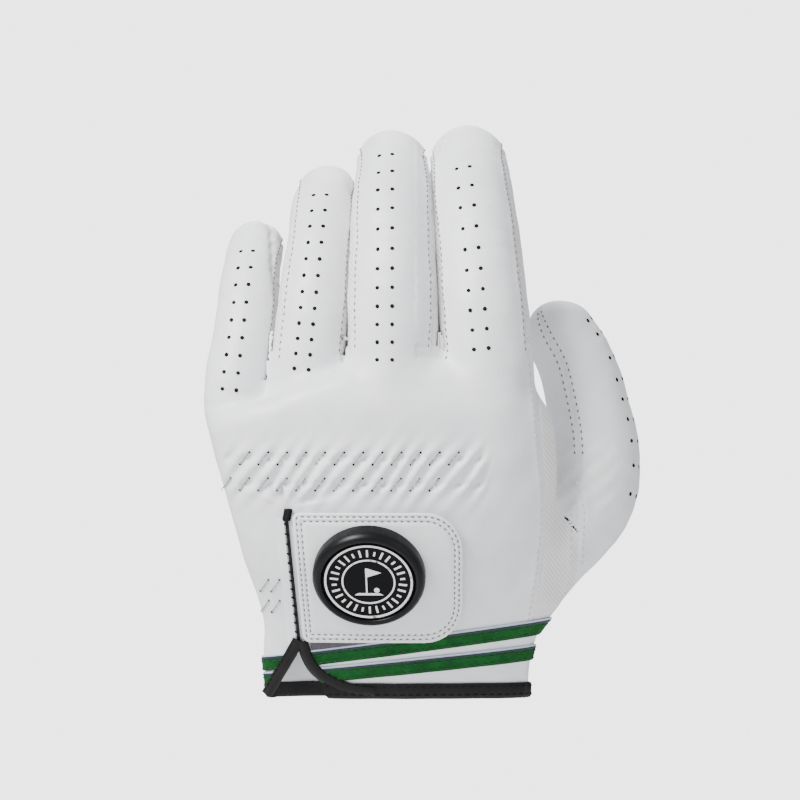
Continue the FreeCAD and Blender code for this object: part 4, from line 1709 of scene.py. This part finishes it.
@dataclass
class Thread:
    """Every stitch and painted-shade hole disc, gathered by body and kind, one mesh each."""

    skin: LeatherSkin
    drape: Drape
    groups: dict = field(default_factory=dict)
    trees: dict = field(default_factory=dict)

    def add(self, where: tuple, kind: Repeat, places: Array, ways: Array, ups: Array) -> None:
        """Gather places on one body; where is (body,) or (finger, stage)."""
        if len(places):
            self.groups.setdefault((where, kind), []).append(np.concatenate([places, ways, ups], 1))

    def row(self, kind: Repeat, path: Array, pitch: float, body: str = "hand", exact: bool = True) -> None:
        """A row of stitches along a path that lies on the skin."""
        places, ways = resample(path, pitch)
        self.add((body,), kind, places, ways, self.drape.ups(places, exact))

    def back_row(self, kind: Repeat, x: Array, z: Array, pitch: float, lift: float = 0.12) -> None:
        """A row over (x, z) on the back of the hand."""
        ends = np.arange(len(x))
        dense = np.linspace(0, len(x) - 1, 30 * len(x))
        path = self.drape.on_back(np.interp(dense, ends, x), np.interp(dense, ends, z), lift)
        self.row(kind, path, pitch)

    def on_finger(self, kind: Repeat, name: str, along: Array, angle: Array, pitch: float,
                  lift: float) -> None:
        """A row along a finger, split between the bodies that it crosses.

        Args:
            kind: what is repeated.
            name: finger name.
            along: distance along the finger, mm.
            angle: turn about the finger, degrees.
            pitch: spacing, mm.
            lift: height over the leather, mm.
        """
        path = self.drape.on_finger(name, along, angle, lift)
        places, ways = resample(path, pitch) if pitch else (path, unit(np.gradient(path, axis=0)))
        form = self.skin.form
        tube = form.tube(name)
        ups = unit(gradient(lambda q: form.field(q, name), places))
        start = form.rings[name][0]
        split = np.linalg.norm(start - tube.places[1]) + form.bend_run[name] + 1.0 + tube.stations[1]
        far = tube.measure(places)[1] > split
        on_hand = form.beyond(name, places) < 0
        parts = ((("hand",), on_hand), ((name, "first"), ~on_hand & ~far), ((name, "tip"), ~on_hand & far))
        for where, chosen in parts:
            self.add(where, kind, places[chosen], ways[chosen], ups[chosen])

    def build(self) -> None:
        """Turn each group into one mesh and fix it to its body."""
        for (where, kind), parts in self.groups.items():
            rows = np.concatenate(parts)
            if kind.shape not in self.trees:
                self.trees[kind.shape] = RepeatTree(kind.shape)
            piece = self.realised("_".join(where) + "_" + kind.name, rows, kind)
            if len(where) == 1:
                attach(piece, where[0])
            else:
                self.skin.bend(piece, *where)
            LOG.info("%s: %d shapes, %d faces", piece.name, len(rows), len(piece.data.polygons))

    def realised(self, name: str, rows: Array, kind: Repeat) -> bpy.types.Object:
        """Run the tree on one group of points and keep its mesh.

        Args:
            name: name of the piece or finger.
            rows: place, way and up of each.
            kind: what is repeated.

        Returns:
            Object with a plain mesh.
        """
        helper = self.trees[kind.shape]
        points = bpy.data.meshes.new(name + "_points")
        points.from_pydata((rows[:, :3] * MM).tolist(), [], [])
        for key, first in (("way", 3), ("up", 6)):
            stored = points.attributes.new(key, "FLOAT_VECTOR", "POINT")
            stored.data.foreach_set("vector", rows[:, first:first + 3].ravel().astype(np.float32))
        made = bpy.data.objects.new(name, points)
        bpy.context.scene.collection.objects.link(made)
        modifier = made.modifiers.new("repeat", "NODES")
        modifier.node_group = helper.tree
        modifier[helper.size] = tuple(s * MM for s in kind.size)
        modifier[helper.surface] = material(kind.finish)
        bpy.context.view_layer.update()
        evaluated = made.evaluated_get(bpy.context.evaluated_depsgraph_get())
        made.data = bpy.data.meshes.new_from_object(evaluated)
        made.modifiers.remove(modifier)
        for key in [a.name for a in made.data.attributes if a.name in ("way", "up")]:
            made.data.attributes.remove(made.data.attributes[key])
        return made


# ---- seams, and painted shade of the perforations, on the hand
@dataclass
class Needlework:
    """Rows of stitches over the leather, and dark discs that paint the shade in its ventilation holes."""

    thread: Thread

    def gussets(self) -> None:
        """Stitches on both sides of every finger gusset."""
        for name in ("index", "middle", "ring", "little"):
            tube = self.thread.skin.form.tube(name)
            radius = tube.line_radii[-1]
            start = tube.stations[1] + (6.0 if name != "little" else 4.0)
            along = np.linspace(start, tube.arc[-1] + radius * 0.9, 200)
            taper = np.sqrt(np.clip((tube.arc[-1] + radius - 4.0 - along) / 16.0, 0, 1))
            beside = np.degrees(1.3 / tube.radius_at(along))
            half = GUSSET_DEGREES * taper + beside
            sides = (-half, half) if name == "little" else (-half, half, half - 180, 180 - half)
            for angle in sides:
                self.thread.on_finger(DOTS, name, along, angle, 2.1, 0.06)
        tube = self.thread.skin.form.tube("thumb")
        along = np.linspace(tube.stations[1] + 8, tube.arc[-1] + tube.line_radii[-1] * 0.9, 160)
        beside = np.degrees(1.3 / tube.radius_at(along))
        for angle in (-beside, beside, beside - 180, 180 - beside):
            self.thread.on_finger(DOTS, "thumb", along, angle, 2.1, 0.06)

    def hand_seams(self) -> None:
        """Stitches beside the side strip and round the set-in thumb."""
        z = np.linspace(21.0, 103.0, 60)
        x = np.interp(z, SEAMS.index_z, SEAMS.index_x)
        self.thread.back_row(SEAM, x - 1.3, z, 2.3)
        z = np.linspace(41.0, 70.0, 40)
        x = np.interp(z, SEAMS.thumb_z, SEAMS.thumb_x)
        self.thread.back_row(SEAM, x - 2.3, z, 2.4)
        self.thread.back_row(SEAM, x + 1.5, z, 2.4)

    def strokes(self, left: float, right: float, low: float, high: float, pitch: float, lean: float) -> None:
        """One row of slanting strokes on the back of the hand, with a dark disc of painted shade for the
        needle's hole at both ends.

        Args:
            left: x of the first stroke.
            right: x of the end.
            low: z of the lower ends.
            high: z of the upper ends.
            pitch: spacing, mm.
            lean: slant, mm.
        """
        for i in range(int((right - left) / pitch)):
            at = left + i * pitch
            line_x = np.linspace(at, at + lean, 8)
            line_z = np.linspace(low, high, 8)
            self.thread.back_row(STROKE, line_x, line_z, 1.8, 0.25)
            # Dark discs at both ends: painted shade of the needle holes.
            ends = self.thread.drape.on_back(line_x[[0, -1]], line_z[[0, -1]], np.full(2, 0.05))
            ways = np.tile([1.0, 0.0, 0.0], (2, 1))
            self.thread.add(("hand",), PRICK, ends, ways, self.thread.drape.ups(ends))

    def gathers(self) -> None:
        """Zig-zag rows over the elastics."""
        s = SHIRRING
        for level in (s.upper, s.lower):
            shift = s.lean_share * (level - s.middle)
            self.strokes(s.left + 1 + shift, s.right - 2 + shift, level - 1.8, level + 1.8, s.pitch, 2.9)
        for level in (29.0, 35.5):
            self.strokes(-42.5, -35.5, level - 1.8, level + 1.8, 3.4, 2.6)

    def holes(self) -> None:
        """Two columns of dark discs along each finger and along the thumb: painted shade for the vent holes.
        """
        plans = (("middle", 12, 109.0, 161.0, (-110.0, -91.0)), ("ring", 12, 105.0, 150.0, (-111.0, -88.0)),
                 ("index", 10, 112.0, 158.0, (-107.0, -89.0)), ("little", 9, 98.0, 134.0, (-116.0, -92.0)),
                 ("thumb", 9, 66.0, 113.0, (-101.0, -80.0)))
        for name, rows, low, high, angles in plans:
            tube = self.thread.skin.form.tube(name)
            levels = tube.line[:, 2] if name == "thumb" else tube.line[:, 2] + 0.35 * tube.line_radii
            rising = levels[4:]
            along = np.interp(np.linspace(low, high, rows), rising, tube.arc[4:])
            for angle in angles:
                self.thread.on_finger(HOLE, name, along, np.full(rows, angle), 0, 0.02)

    def build(self) -> None:
        """Lay every row."""
        self.gussets()
        self.hand_seams()
        self.gathers()
        self.holes()


# ---- trim round the wrist
@dataclass
class WristTrim:
    """Cuff binding, vent bindings, trim strips, slit edging and elastics.

    A profile is (across, lift off the leather), mm; a line is (x, z) on the back of the hand, mm.
    """

    drape: Drape
    thread: Thread
    strip_cloth: tuple = ((-2.1, -0.1), (-2.15, 0.45), (-1.9, 0.75), (1.9, 0.75), (2.15, 0.45), (2.1, -0.1))
    strip_edge: tuple = ((2.1, -0.1), (2.1, 0.5), (2.3, 0.72), (2.75, 0.6), (2.9, -0.1))
    strip_line: tuple = ((1.55, 0.6), (1.6, 0.86), (2.05, 0.86), (2.1, 0.6))
    cuff_fold: tuple = (
        (5.0, 0.02), (5.0, 0.55), (4.6, 0.85), (1.0, 0.9), (0.2, 0.55), (0.0, -0.3), (0.2, -1.2), (1.0, -1.6),
        (4.6, -1.5), (4.8, -0.85), (0.85, -0.8), (0.8, 0.02))
    vent_fold: tuple = (
        (3.1, 0.0), (3.2, 0.7), (2.8, 1.25), (2.0, 1.55), (1.0, 1.5), (0.2, 1.15), (-0.4, 0.4),
        (-0.4, -0.4), (-0.2, -1.1), (0.5, -1.5), (2.6, -1.4), (2.7, -0.85), (0.1, -0.8), (0.1, 0.0))
    vent_left: tuple = ((-29.8, 18.0), (-32.0, 13.8), (-34.6, 9.4), (-37.4, 4.6), (-39.9, 0.3))
    vent_right: tuple = ((-31.2, 17.8), (-29.6, 12.6), (-26.9, 8.2), (-22.6, 4.9), (-16.5, 2.2), (-8.0, 0.9))
    slit_top: tuple = (-34.0, 56.0)
    slit_low: tuple = (-30.6, 17.0)
    anchor_rib: tuple = ((-3.4, -0.05), (-3.3, 0.45), (-2.9, 0.75), (-1.0, 0.85), (-0.7, 0.5), (-0.7, -0.05))
    edging_cord: tuple = ((-0.5, -0.6), (-0.5, 0.5), (-0.2, 0.8), (0.2, 0.8), (0.4, 0.4), (0.4, -0.6))
    tack_block: tuple = ((-1.3, -0.1), (-1.2, 0.8), (1.2, 0.8), (1.3, -0.1))
    loop_corners: tuple = ((-29.6, 55.0), (-27.2, 15.4), (7.6, 20.0), (8.0, 55.0))
    loop_edge: tuple = ((1.0, -0.05), (0.1, -0.05), (0.0, 0.3), (0.3, 0.65), (1.0, 0.7))
    elastic_band: tuple = ((-1.8, -0.85), (1.8, -0.85), (1.8, -1.5), (-1.8, -1.5))

    def back_band(self, x: Array, z: Array) -> Callable[[Array, Array, Array], Array]:
        """Places beside a line on the back of the hand, across it to its left.

        Args:
            x: x of the places, mm.
            z: z of the places, mm.

        Returns:
            Function of u, v and lift.
        """
        line = np.stack([x, z], 1)
        way = unit(np.gradient(line, axis=0))
        share = np.linspace(0, 1, len(x))

        def place(u: Array, v: Array, lift: Array) -> Array:
            """Places at stations u, v across the line."""
            cx, cz = np.interp(u, share, x), np.interp(u, share, z)
            wx, wz = np.interp(u, share, way[:, 0]), np.interp(u, share, way[:, 1])
            return self.drape.on_back(cx - v * wz, cz + v * wx, lift)
        return place

    def turn_at(self, x: float, level: float) -> float:
        """Turn about the wrist's middle of a place on the back."""
        p = self.drape.on_back(np.array([x]), np.array([level]), np.zeros(1))[0]
        centre = self.drape.form.section(np.array([level]))[1][0]
        return math.atan2((p[1] - centre) / 0.5, p[0] + 0.5)

    def strip(self, name: str, level: float, slope: float, left: float, right: float) -> None:
        """One green strip with its pale edge, navy line and stitches.

        Args:
            name: name of the piece or finger.
            level: level at x = 0, mm.
            slope: rise per mm of x.
            left: x of the left end.
            right: x of the right end.
        """
        start = self.turn_at(right, level + slope * right)
        stop = self.turn_at(left, level + slope * left) + 2 * math.pi
        stations = np.linspace(start, stop, 260)

        def place(u: Array, v: Array, lift: Array) -> Array:
            """Places at stations u, v across the line."""
            return self.drape.around(u, lambda x: level + slope * x + v, lift)
        cloth = sweep(name + "_cloth", place, stations, self.strip_cloth, "green_suede")
        put(cloth, "hand", "green_trim", name)
        put(sweep(name + "_edge", place, stations, self.strip_edge, "pale_edge"), "hand", "green_trim")
        put(sweep(name + "_line", place, stations, self.strip_line, "navy_thread"), "hand", "green_trim")
        for v in (-1.4, 0.9):
            path = place(stations, np.full(len(stations), v), np.full(len(stations), 0.8))
            self.thread.row(GREEN, path, 2.3)

    def cuff(self) -> None:
        """The black binding folded over the rim, open at the vent."""
        start = self.turn_at(SEAMS.vent_right - 3.0, 2.5)
        stop = self.turn_at(SEAMS.vent_left, 2.5) + 2 * math.pi
        stations = np.linspace(start, stop, 240)

        def place(u: Array, v: Array, lift: Array) -> Array:
            """Places at stations u, v across the line."""
            return self.drape.around(u, lambda x: v, lift)
        piece = sweep("cuff_binding_cloth", place, stations, self.cuff_fold, "black_binding")
        put(piece, "hand", "black_binding", "cuff_binding")
        for level in (1.3, 3.9):
            path = place(stations, np.full(len(stations), level), np.full(len(stations), 0.93))
            self.thread.row(BLACK, path, 2.5)

    def vent(self) -> None:
        """Bindings along the two sides of the vent."""
        share = np.linspace(0, 1, 60)
        fold = np.array(self.vent_fold)
        sides = (("slit_binding_left", self.vent_left, -1), ("slit_binding_right", self.vent_right, 1))
        for name, line_points, side in sides:
            points = np.array(line_points)
            line = smooth_curve(np.linspace(0, 1, len(points)), points, 60)[1]
            place = self.back_band(line[:, 0], line[:, 1])
            piece = sweep(name + "_cloth", place, share, fold * np.array([side, 1.0]), "black_binding")
            put(piece, "hand", "black_binding", name)
            path = place(share, np.full(60, 2.7 * side), np.full(60, 1.35))
            self.thread.row(BLACK, path, 2.3)

    def slit(self) -> None:
        """The sewn anchor beside the slit, its overcast edge, the bar tack and the loop pad."""
        share = np.linspace(0, 1, 50)
        top, low = np.array(self.slit_top), np.array(self.slit_low)
        x, z = top[0] + (low[0] - top[0]) * share, top[1] + (low[1] - top[1]) * share
        band = self.back_band(x, z)
        anchor = sweep("tab_anchor_leather", band, share, self.anchor_rib, "white_leather")
        put(anchor, "hand", "white_leather", "tab_anchor")
        put(sweep("slit_edging", band, share, self.edging_cord, "black_binding"), "hand", "black_binding")
        path = band(share, np.full(50, -0.5), np.full(50, 0.85))
        places, ways = resample(path, 3.3)
        ups = self.drape.ups(places)
        across = unit(np.cross(ups, ways) + ways * 0.35)
        self.thread.add(("hand",), OVERCAST, places, across, ups)
        tack = np.linspace(0, 1, 8)
        block = self.back_band(-34.2 + 0.7 * tack, 55.6 + 3.4 * tack)
        put(sweep("slit_bar_tack_thread", block, tack, self.tack_block, "black_binding"),
            "hand", "black_binding", "slit_bar_tack")
        rows = block(np.linspace(0.04, 0.96, 9), np.zeros(9), np.full(9, 0.85))
        sideways = np.tile([1.0, 0.0, 0.12], (9, 1))
        self.thread.add(("hand",), TACK, rows, sideways, self.drape.ups(rows))
        pad = Panel(self.loop_corners, (1.5, 1.0, 1.5, 3.0), ((-18, 38), (-2, 38)))
        pile = pad.build("loop_pad_pile", self.drape, self.loop_edge, "loop_pile", True)
        put(pile, "hand", "loop_pile", "loop_pad")

    def elastics(self) -> None:
        """Bands sewn to the inside of the leather."""
        share = np.linspace(0, 1, 60)
        for name, left, right, level in (("knuckle_elastic_upper", -49.0, 24.0, SHIRRING.upper),
                                         ("knuckle_elastic_lower", -49.0, 24.0, SHIRRING.lower),
                                         ("wrist_elastic", -41.0, -35.0, 32.0)):
            band = self.back_band(left + (right - left) * share, np.full(60, level))
            piece = sweep(name + "_band", band, share, self.elastic_band, "elastic_white")
            put(piece, "hand", "elastic", name)

    def build(self) -> None:
        """Make all of it."""
        self.cuff()
        self.vent()
        self.strip("green_strip_upper", 16.3, 0.135, -34.3, -26.5)
        self.strip("green_strip_lower", 9.8, 0.105, -37.6, -23.5)
        self.slit()
        self.elastics()


# ---- closure tab and badge
@dataclass
class ClosureTab:
    """The tab that closes over the slit, with its hook pad and double stitching."""

    drape: Drape
    thread: Thread

    corners: tuple = ((-32.4, 58.0), (-29.4, 18.0), (19.0, 18.0), (19.0, 58.0))
    radii: tuple = (2.0, 2.5, 11.5, 11.5)
    spine: tuple = ((-17.0, 38.0), (3.0, 38.0))
    low: float = 2.2
    top: float = 3.1
    lining_edge: tuple = ((3.0, 1.75), (0.9, 1.75), (0.7, 1.95), (0.7, 2.1), (1.0, 2.17), (3.0, 2.17))
    hook_edge: tuple = ((4.5, 1.1), (3.3, 1.1), (3.1, 1.3), (3.1, 1.6), (3.3, 1.72), (4.5, 1.72))

    def build(self) -> None:
        """Make the layers and their stitches."""
        low, top = self.low, self.top
        sheet = Panel(self.corners, self.radii, self.spine)
        outer_edge = (
            (4.2, low), (0.4, low), (0.0, low + 0.2), (0.0, top - 0.5), (0.12, top - 0.25), (0.4, top - 0.05),
            (0.8, top), (1.05, top - 0.2), (1.3, top - 0.2), (1.6, top + 0.08), (2.1, top + 0.1), (2.4,
             top - 0.15),
            (2.65, top - 0.15), (3.0, top + 0.1), (4.2, top + 0.12))
        for name, node, edge, finish, slot in (
            ("tab_outer_leather", "tab_outer", outer_edge, "white_leather", "white_leather"),
            ("tab_lining_leather", "tab_lining", self.lining_edge, "white_leather", "white_leather"),
            ("hook_pad_tape", "hook_pad", self.hook_edge, "hook_plastic", "hook_tape"),
        ):
            put(sheet.build(name, self.drape, edge, finish), "closure_tab", slot, node)
        for inset in (1.17, 2.52):
            flat = rounded_outline(self.corners, self.radii, inset)
            flat = np.concatenate([flat, flat[:1]])
            path = self.drape.on_back(flat[:, 0], flat[:, 1], np.full(len(flat), top - 0.08), False)
            self.thread.row(DOTS, path, 1.95, "closure_tab", False)


@dataclass
class Badge:
    """Rubber holder on the tab, its magnet, and the ball marker with plain marks."""

    drape: Drape
    tab: ClosureTab
    holder_radius: float = 17.0
    pocket_radius: float = 14.2
    packed_middle: float = 2.7
    floor: float = 0.9
    rise: float = 3.5
    marker_radius: float = 14.0
    marker_height: float = 1.9
    gap: float = 0.2

    def __post_init__(self) -> None:
        """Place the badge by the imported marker."""
        low, high = node_box("ball_marker")
        self.out = joint_axis("marker_pull")
        self.centre = (low + high) / 2 - self.out * self.packed_middle
        self.across = unit(np.cross(np.array([0.0, 0.0, 1.0]), self.out))
        self.up = np.cross(self.out, self.across)

    def foot(self, ring: Array) -> Array:
        """The holder's lowest ring, brought down to the tab's leather."""
        top = self.tab.top
        zero = np.zeros(len(ring))
        return self.drape.bisect(lambda t: ring + self.out * t[:, None], zero + 6.0, zero - 9.0,
                                 zero + top - 0.3, False)

    def holder(self) -> None:
        """Domed rim, pocket and magnet."""
        r, h, p = self.holder_radius, self.rise, self.pocket_radius
        profile = [(r, 0.0), (r + 0.05, 0.9), (r - 0.15, 1.7), (r - 0.55, 2.5), (r - 1.1, 3.1), (r - 1.7, h),
                   (r - 2.2, h - 0.1), (p + 0.2, h - 0.4), (p, h - 0.8), (p, self.floor), (6.1, self.floor)]
        profile += [(6.05, self.floor - 0.95), (0.5, self.floor - 0.95)]
        made = rotation_body("badge_holder_rubber", self.centre, self.out, profile, "badge_rubber", 96,
                             self.foot)
        put(made, "closure_tab", "badge_rubber", "badge_holder")
        low, top = self.floor - 0.9, self.floor - 0.02
        made = rotation_body("holder_magnet_disc", self.centre, self.out,
                             [(0.3, low), (6.0, low), (6.0, top), (0.3, top)], "magnet_steel", 48)
        put(made, "closure_tab", "magnet_steel", "holder_magnet")

    def marker(self) -> None:
        """The marker's disc and its raised white marks."""
        low = self.floor + self.gap
        top = low + self.marker_height
        r = self.marker_radius
        profile = [(0.3, low), (r - 0.3, low), (r, low + 0.3), (r, top - 0.35), (r - 0.12, top - 0.1),
                   (r - 0.4, top),
                   (r - 0.5, top - 0.2), (r - 0.6, top - 0.25), (8.2, top - 0.25), (0.3, top - 0.25)]
        made = rotation_body("ball_marker_disc", self.centre, self.out, profile, "marker_enamel", 96)
        put(made, "marker", "marker_enamel", "ball_marker")
        self.marks(top - 0.25)

    def block(self, outline: Array, low: float, high: float) -> tuple[Array, list]:
        """A raised shape with an outline in the badge's own plane.

        Args:
            outline: corners in the plane.
            low: lower level, mm.
            high: upper level, mm.

        Returns:
            Points and faces.
        """
        flat = self.centre + outline[:, :1] * self.across + outline[:, 1:] * self.up
        count = len(outline)
        points = np.concatenate([flat + self.out * low, flat + self.out * high])
        faces = [list(reversed(range(count))), list(range(count, 2 * count))]
        for i in range(count):
            j = (i + 1) % count
            faces.append([i, j, count + j, count + i])
        return points, faces

    def marks(self, face: float) -> None:
        """Two rings, plain bars between them and a flag on a green, all one mesh.

        Args:
            face: height of the face.
        """
        shapes = []
        for inner, outer in ((12.7, 13.35), (7.6, 8.1)):
            turn = np.linspace(0, 2 * math.pi, 97)
            for a, b in zip(turn[:-1], turn[1:]):
                ends = ((inner, a), (outer, a), (outer, b), (inner, b))
                shapes.append(np.array([[r * math.cos(t), r * math.sin(t)] for r, t in ends]))
        bars = 30
        for i in range(bars):
            turn = 2 * math.pi * (i + 0.5) / bars
            long = 1.25 if i % 3 else 0.75
            c, s = math.cos(turn), math.sin(turn)
            wide = 0.3
            corners = [(10.4 - long, -wide), (10.4 + long, -wide), (10.4 + long, wide), (10.4 - long, wide)]
            shapes.append(np.array([[a * c - b * s, a * s + b * c] for a, b in corners]))
        shapes.append(np.array([[-0.85, -4.2], [-0.4, -4.2], [-0.4, 4.9], [-0.85, 4.9]]))
        shapes.append(np.array([[-0.4, 4.9], [-0.4, 1.7], [3.9, 3.3]])[::-1])
        shapes.append(np.array([[-4.3, -4.9], [4.3, -4.9], [3.2, -4.2], [-3.2, -4.2]]))
        ball = np.linspace(0, 2 * math.pi, 17)[:-1]
        shapes.append(np.stack([2.4 + 0.85 * np.cos(ball), -3.1 + 0.85 * np.sin(ball)], 1))
        points, faces, count = [], [], 0
        for outline in shapes:
            more, sides = self.block(outline, face - 0.05, face + 0.16)
            points.append(more)
            faces += [[v + count for v in f] for f in sides]
            count += len(more)
        made = make_object("marker_marks", np.concatenate(points), faces, "marker_white", None, False)
        put(finish_mesh(made, 20.0), "marker", "marker_enamel")

    def build(self) -> None:
        """Make the badge."""
        self.holder()
        self.marker()


# ---- stage
@dataclass(frozen=True)
class Studio:
    """Camera, floor and soft lights."""

    distance: float = 1.6
    floor_drop: float = 0.35
    floor_half: float = 2.0
    backdrop: float = 4.4
    ambient: float = 0.72

    def sky(self, scene: bpy.types.Scene) -> None:
        """A plain pale backdrop for the camera, and a softer one for the light that it gives.

        Args:
            scene: scene to light.
        """
        world = bpy.data.worlds.new("studio")
        scene.world = world
        world.use_nodes = True
        tree = world.node_tree
        tree.nodes.clear()
        seen = tree.nodes.new("ShaderNodeBackground")
        seen.inputs[0].default_value = (0.80, 0.80, 0.805, 1)
        seen.inputs[1].default_value = self.backdrop
        lit = tree.nodes.new("ShaderNodeBackground")
        lit.inputs[0].default_value = (0.80, 0.82, 0.86, 1)
        lit.inputs[1].default_value = self.ambient
        path = tree.nodes.new("ShaderNodeLightPath")
        mix = tree.nodes.new("ShaderNodeMixShader")
        end = tree.nodes.new("ShaderNodeOutputWorld")
        tree.links.new(path.outputs["Is Camera Ray"], mix.inputs[0])
        tree.links.new(lit.outputs[0], mix.inputs[1])
        tree.links.new(seen.outputs[0], mix.inputs[2])
        tree.links.new(mix.outputs[0], end.inputs[0])

    def build(self) -> None:
        """Place them."""
        low, high = (np.array(v) for v in cad_bounds)
        middle = (low + high) / 2
        scene = bpy.context.scene
        data = bpy.data.cameras.new("camera")
        camera = bpy.data.objects.new("camera", data)
        scene.collection.objects.link(camera)
        scene.camera = camera
        camera.location = (0.0, -self.distance, 0.0918)
        camera.rotation_euler = (math.radians(90), 0, 0)
        data.type = "PERSP"
        data.sensor_width = 36.0
        data.lens = 36.0 * (self.distance - 0.045) / 0.240
        data.clip_end = 50
        self.sky(scene)
        for name, place, size, power in (
            ("key", (-0.75, -0.8, 0.95), 0.6, 46.0),
            ("fill", (0.9, -0.8, 0.3), 0.9, 3.0),
            ("rim", (0.1, 0.7, 0.9), 0.8, 9.0),
        ):
            light = bpy.data.lights.new(name, "AREA")
            light.size = size
            light.energy = power
            lamp = bpy.data.objects.new(name, light)
            scene.collection.objects.link(lamp)
            lamp.location = place
            aim = Vector(tuple(middle)) - Vector(place)
            lamp.rotation_euler = aim.to_track_quat("-Z", "Y").to_euler()
        mesh = bpy.data.meshes.new("floor")
        half = self.floor_half
        level = float(low[2]) - self.floor_drop
        corners = ((-half, -half), (half, -half), (half, half), (-half, half))
        mesh.from_pydata([(x, y, level) for x, y in corners], [], [(0, 1, 2, 3)])
        floor = bpy.data.objects.new("floor", mesh)
        scene.collection.objects.link(floor)
        floor.data.materials.append(Finish("floor_paper", (0.8, 0.8, 0.8), (0.78, 0.78, 0.78), roughness=0.9,
                                           size_mm=4.0, depth_mm=0.02).build())
        floor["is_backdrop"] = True


def main() -> None:
    """Build the glove in order."""
    logging.basicConfig(level=logging.INFO, format="%(message)s")
    form = Sewn()
    skin = LeatherSkin(form)
    skin.build()
    drape = Drape(form)
    thread = Thread(skin, drape)
    WristTrim(drape, thread).build()
    tab = ClosureTab(drape, thread)
    tab.build()
    Badge(drape, tab).build()
    Needlework(thread).build()
    thread.build()
    Studio().build()
    [[list(map(float, c)) for c in b] for b in (cad_bounds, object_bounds())]


if __name__ == "__main__":
    main()
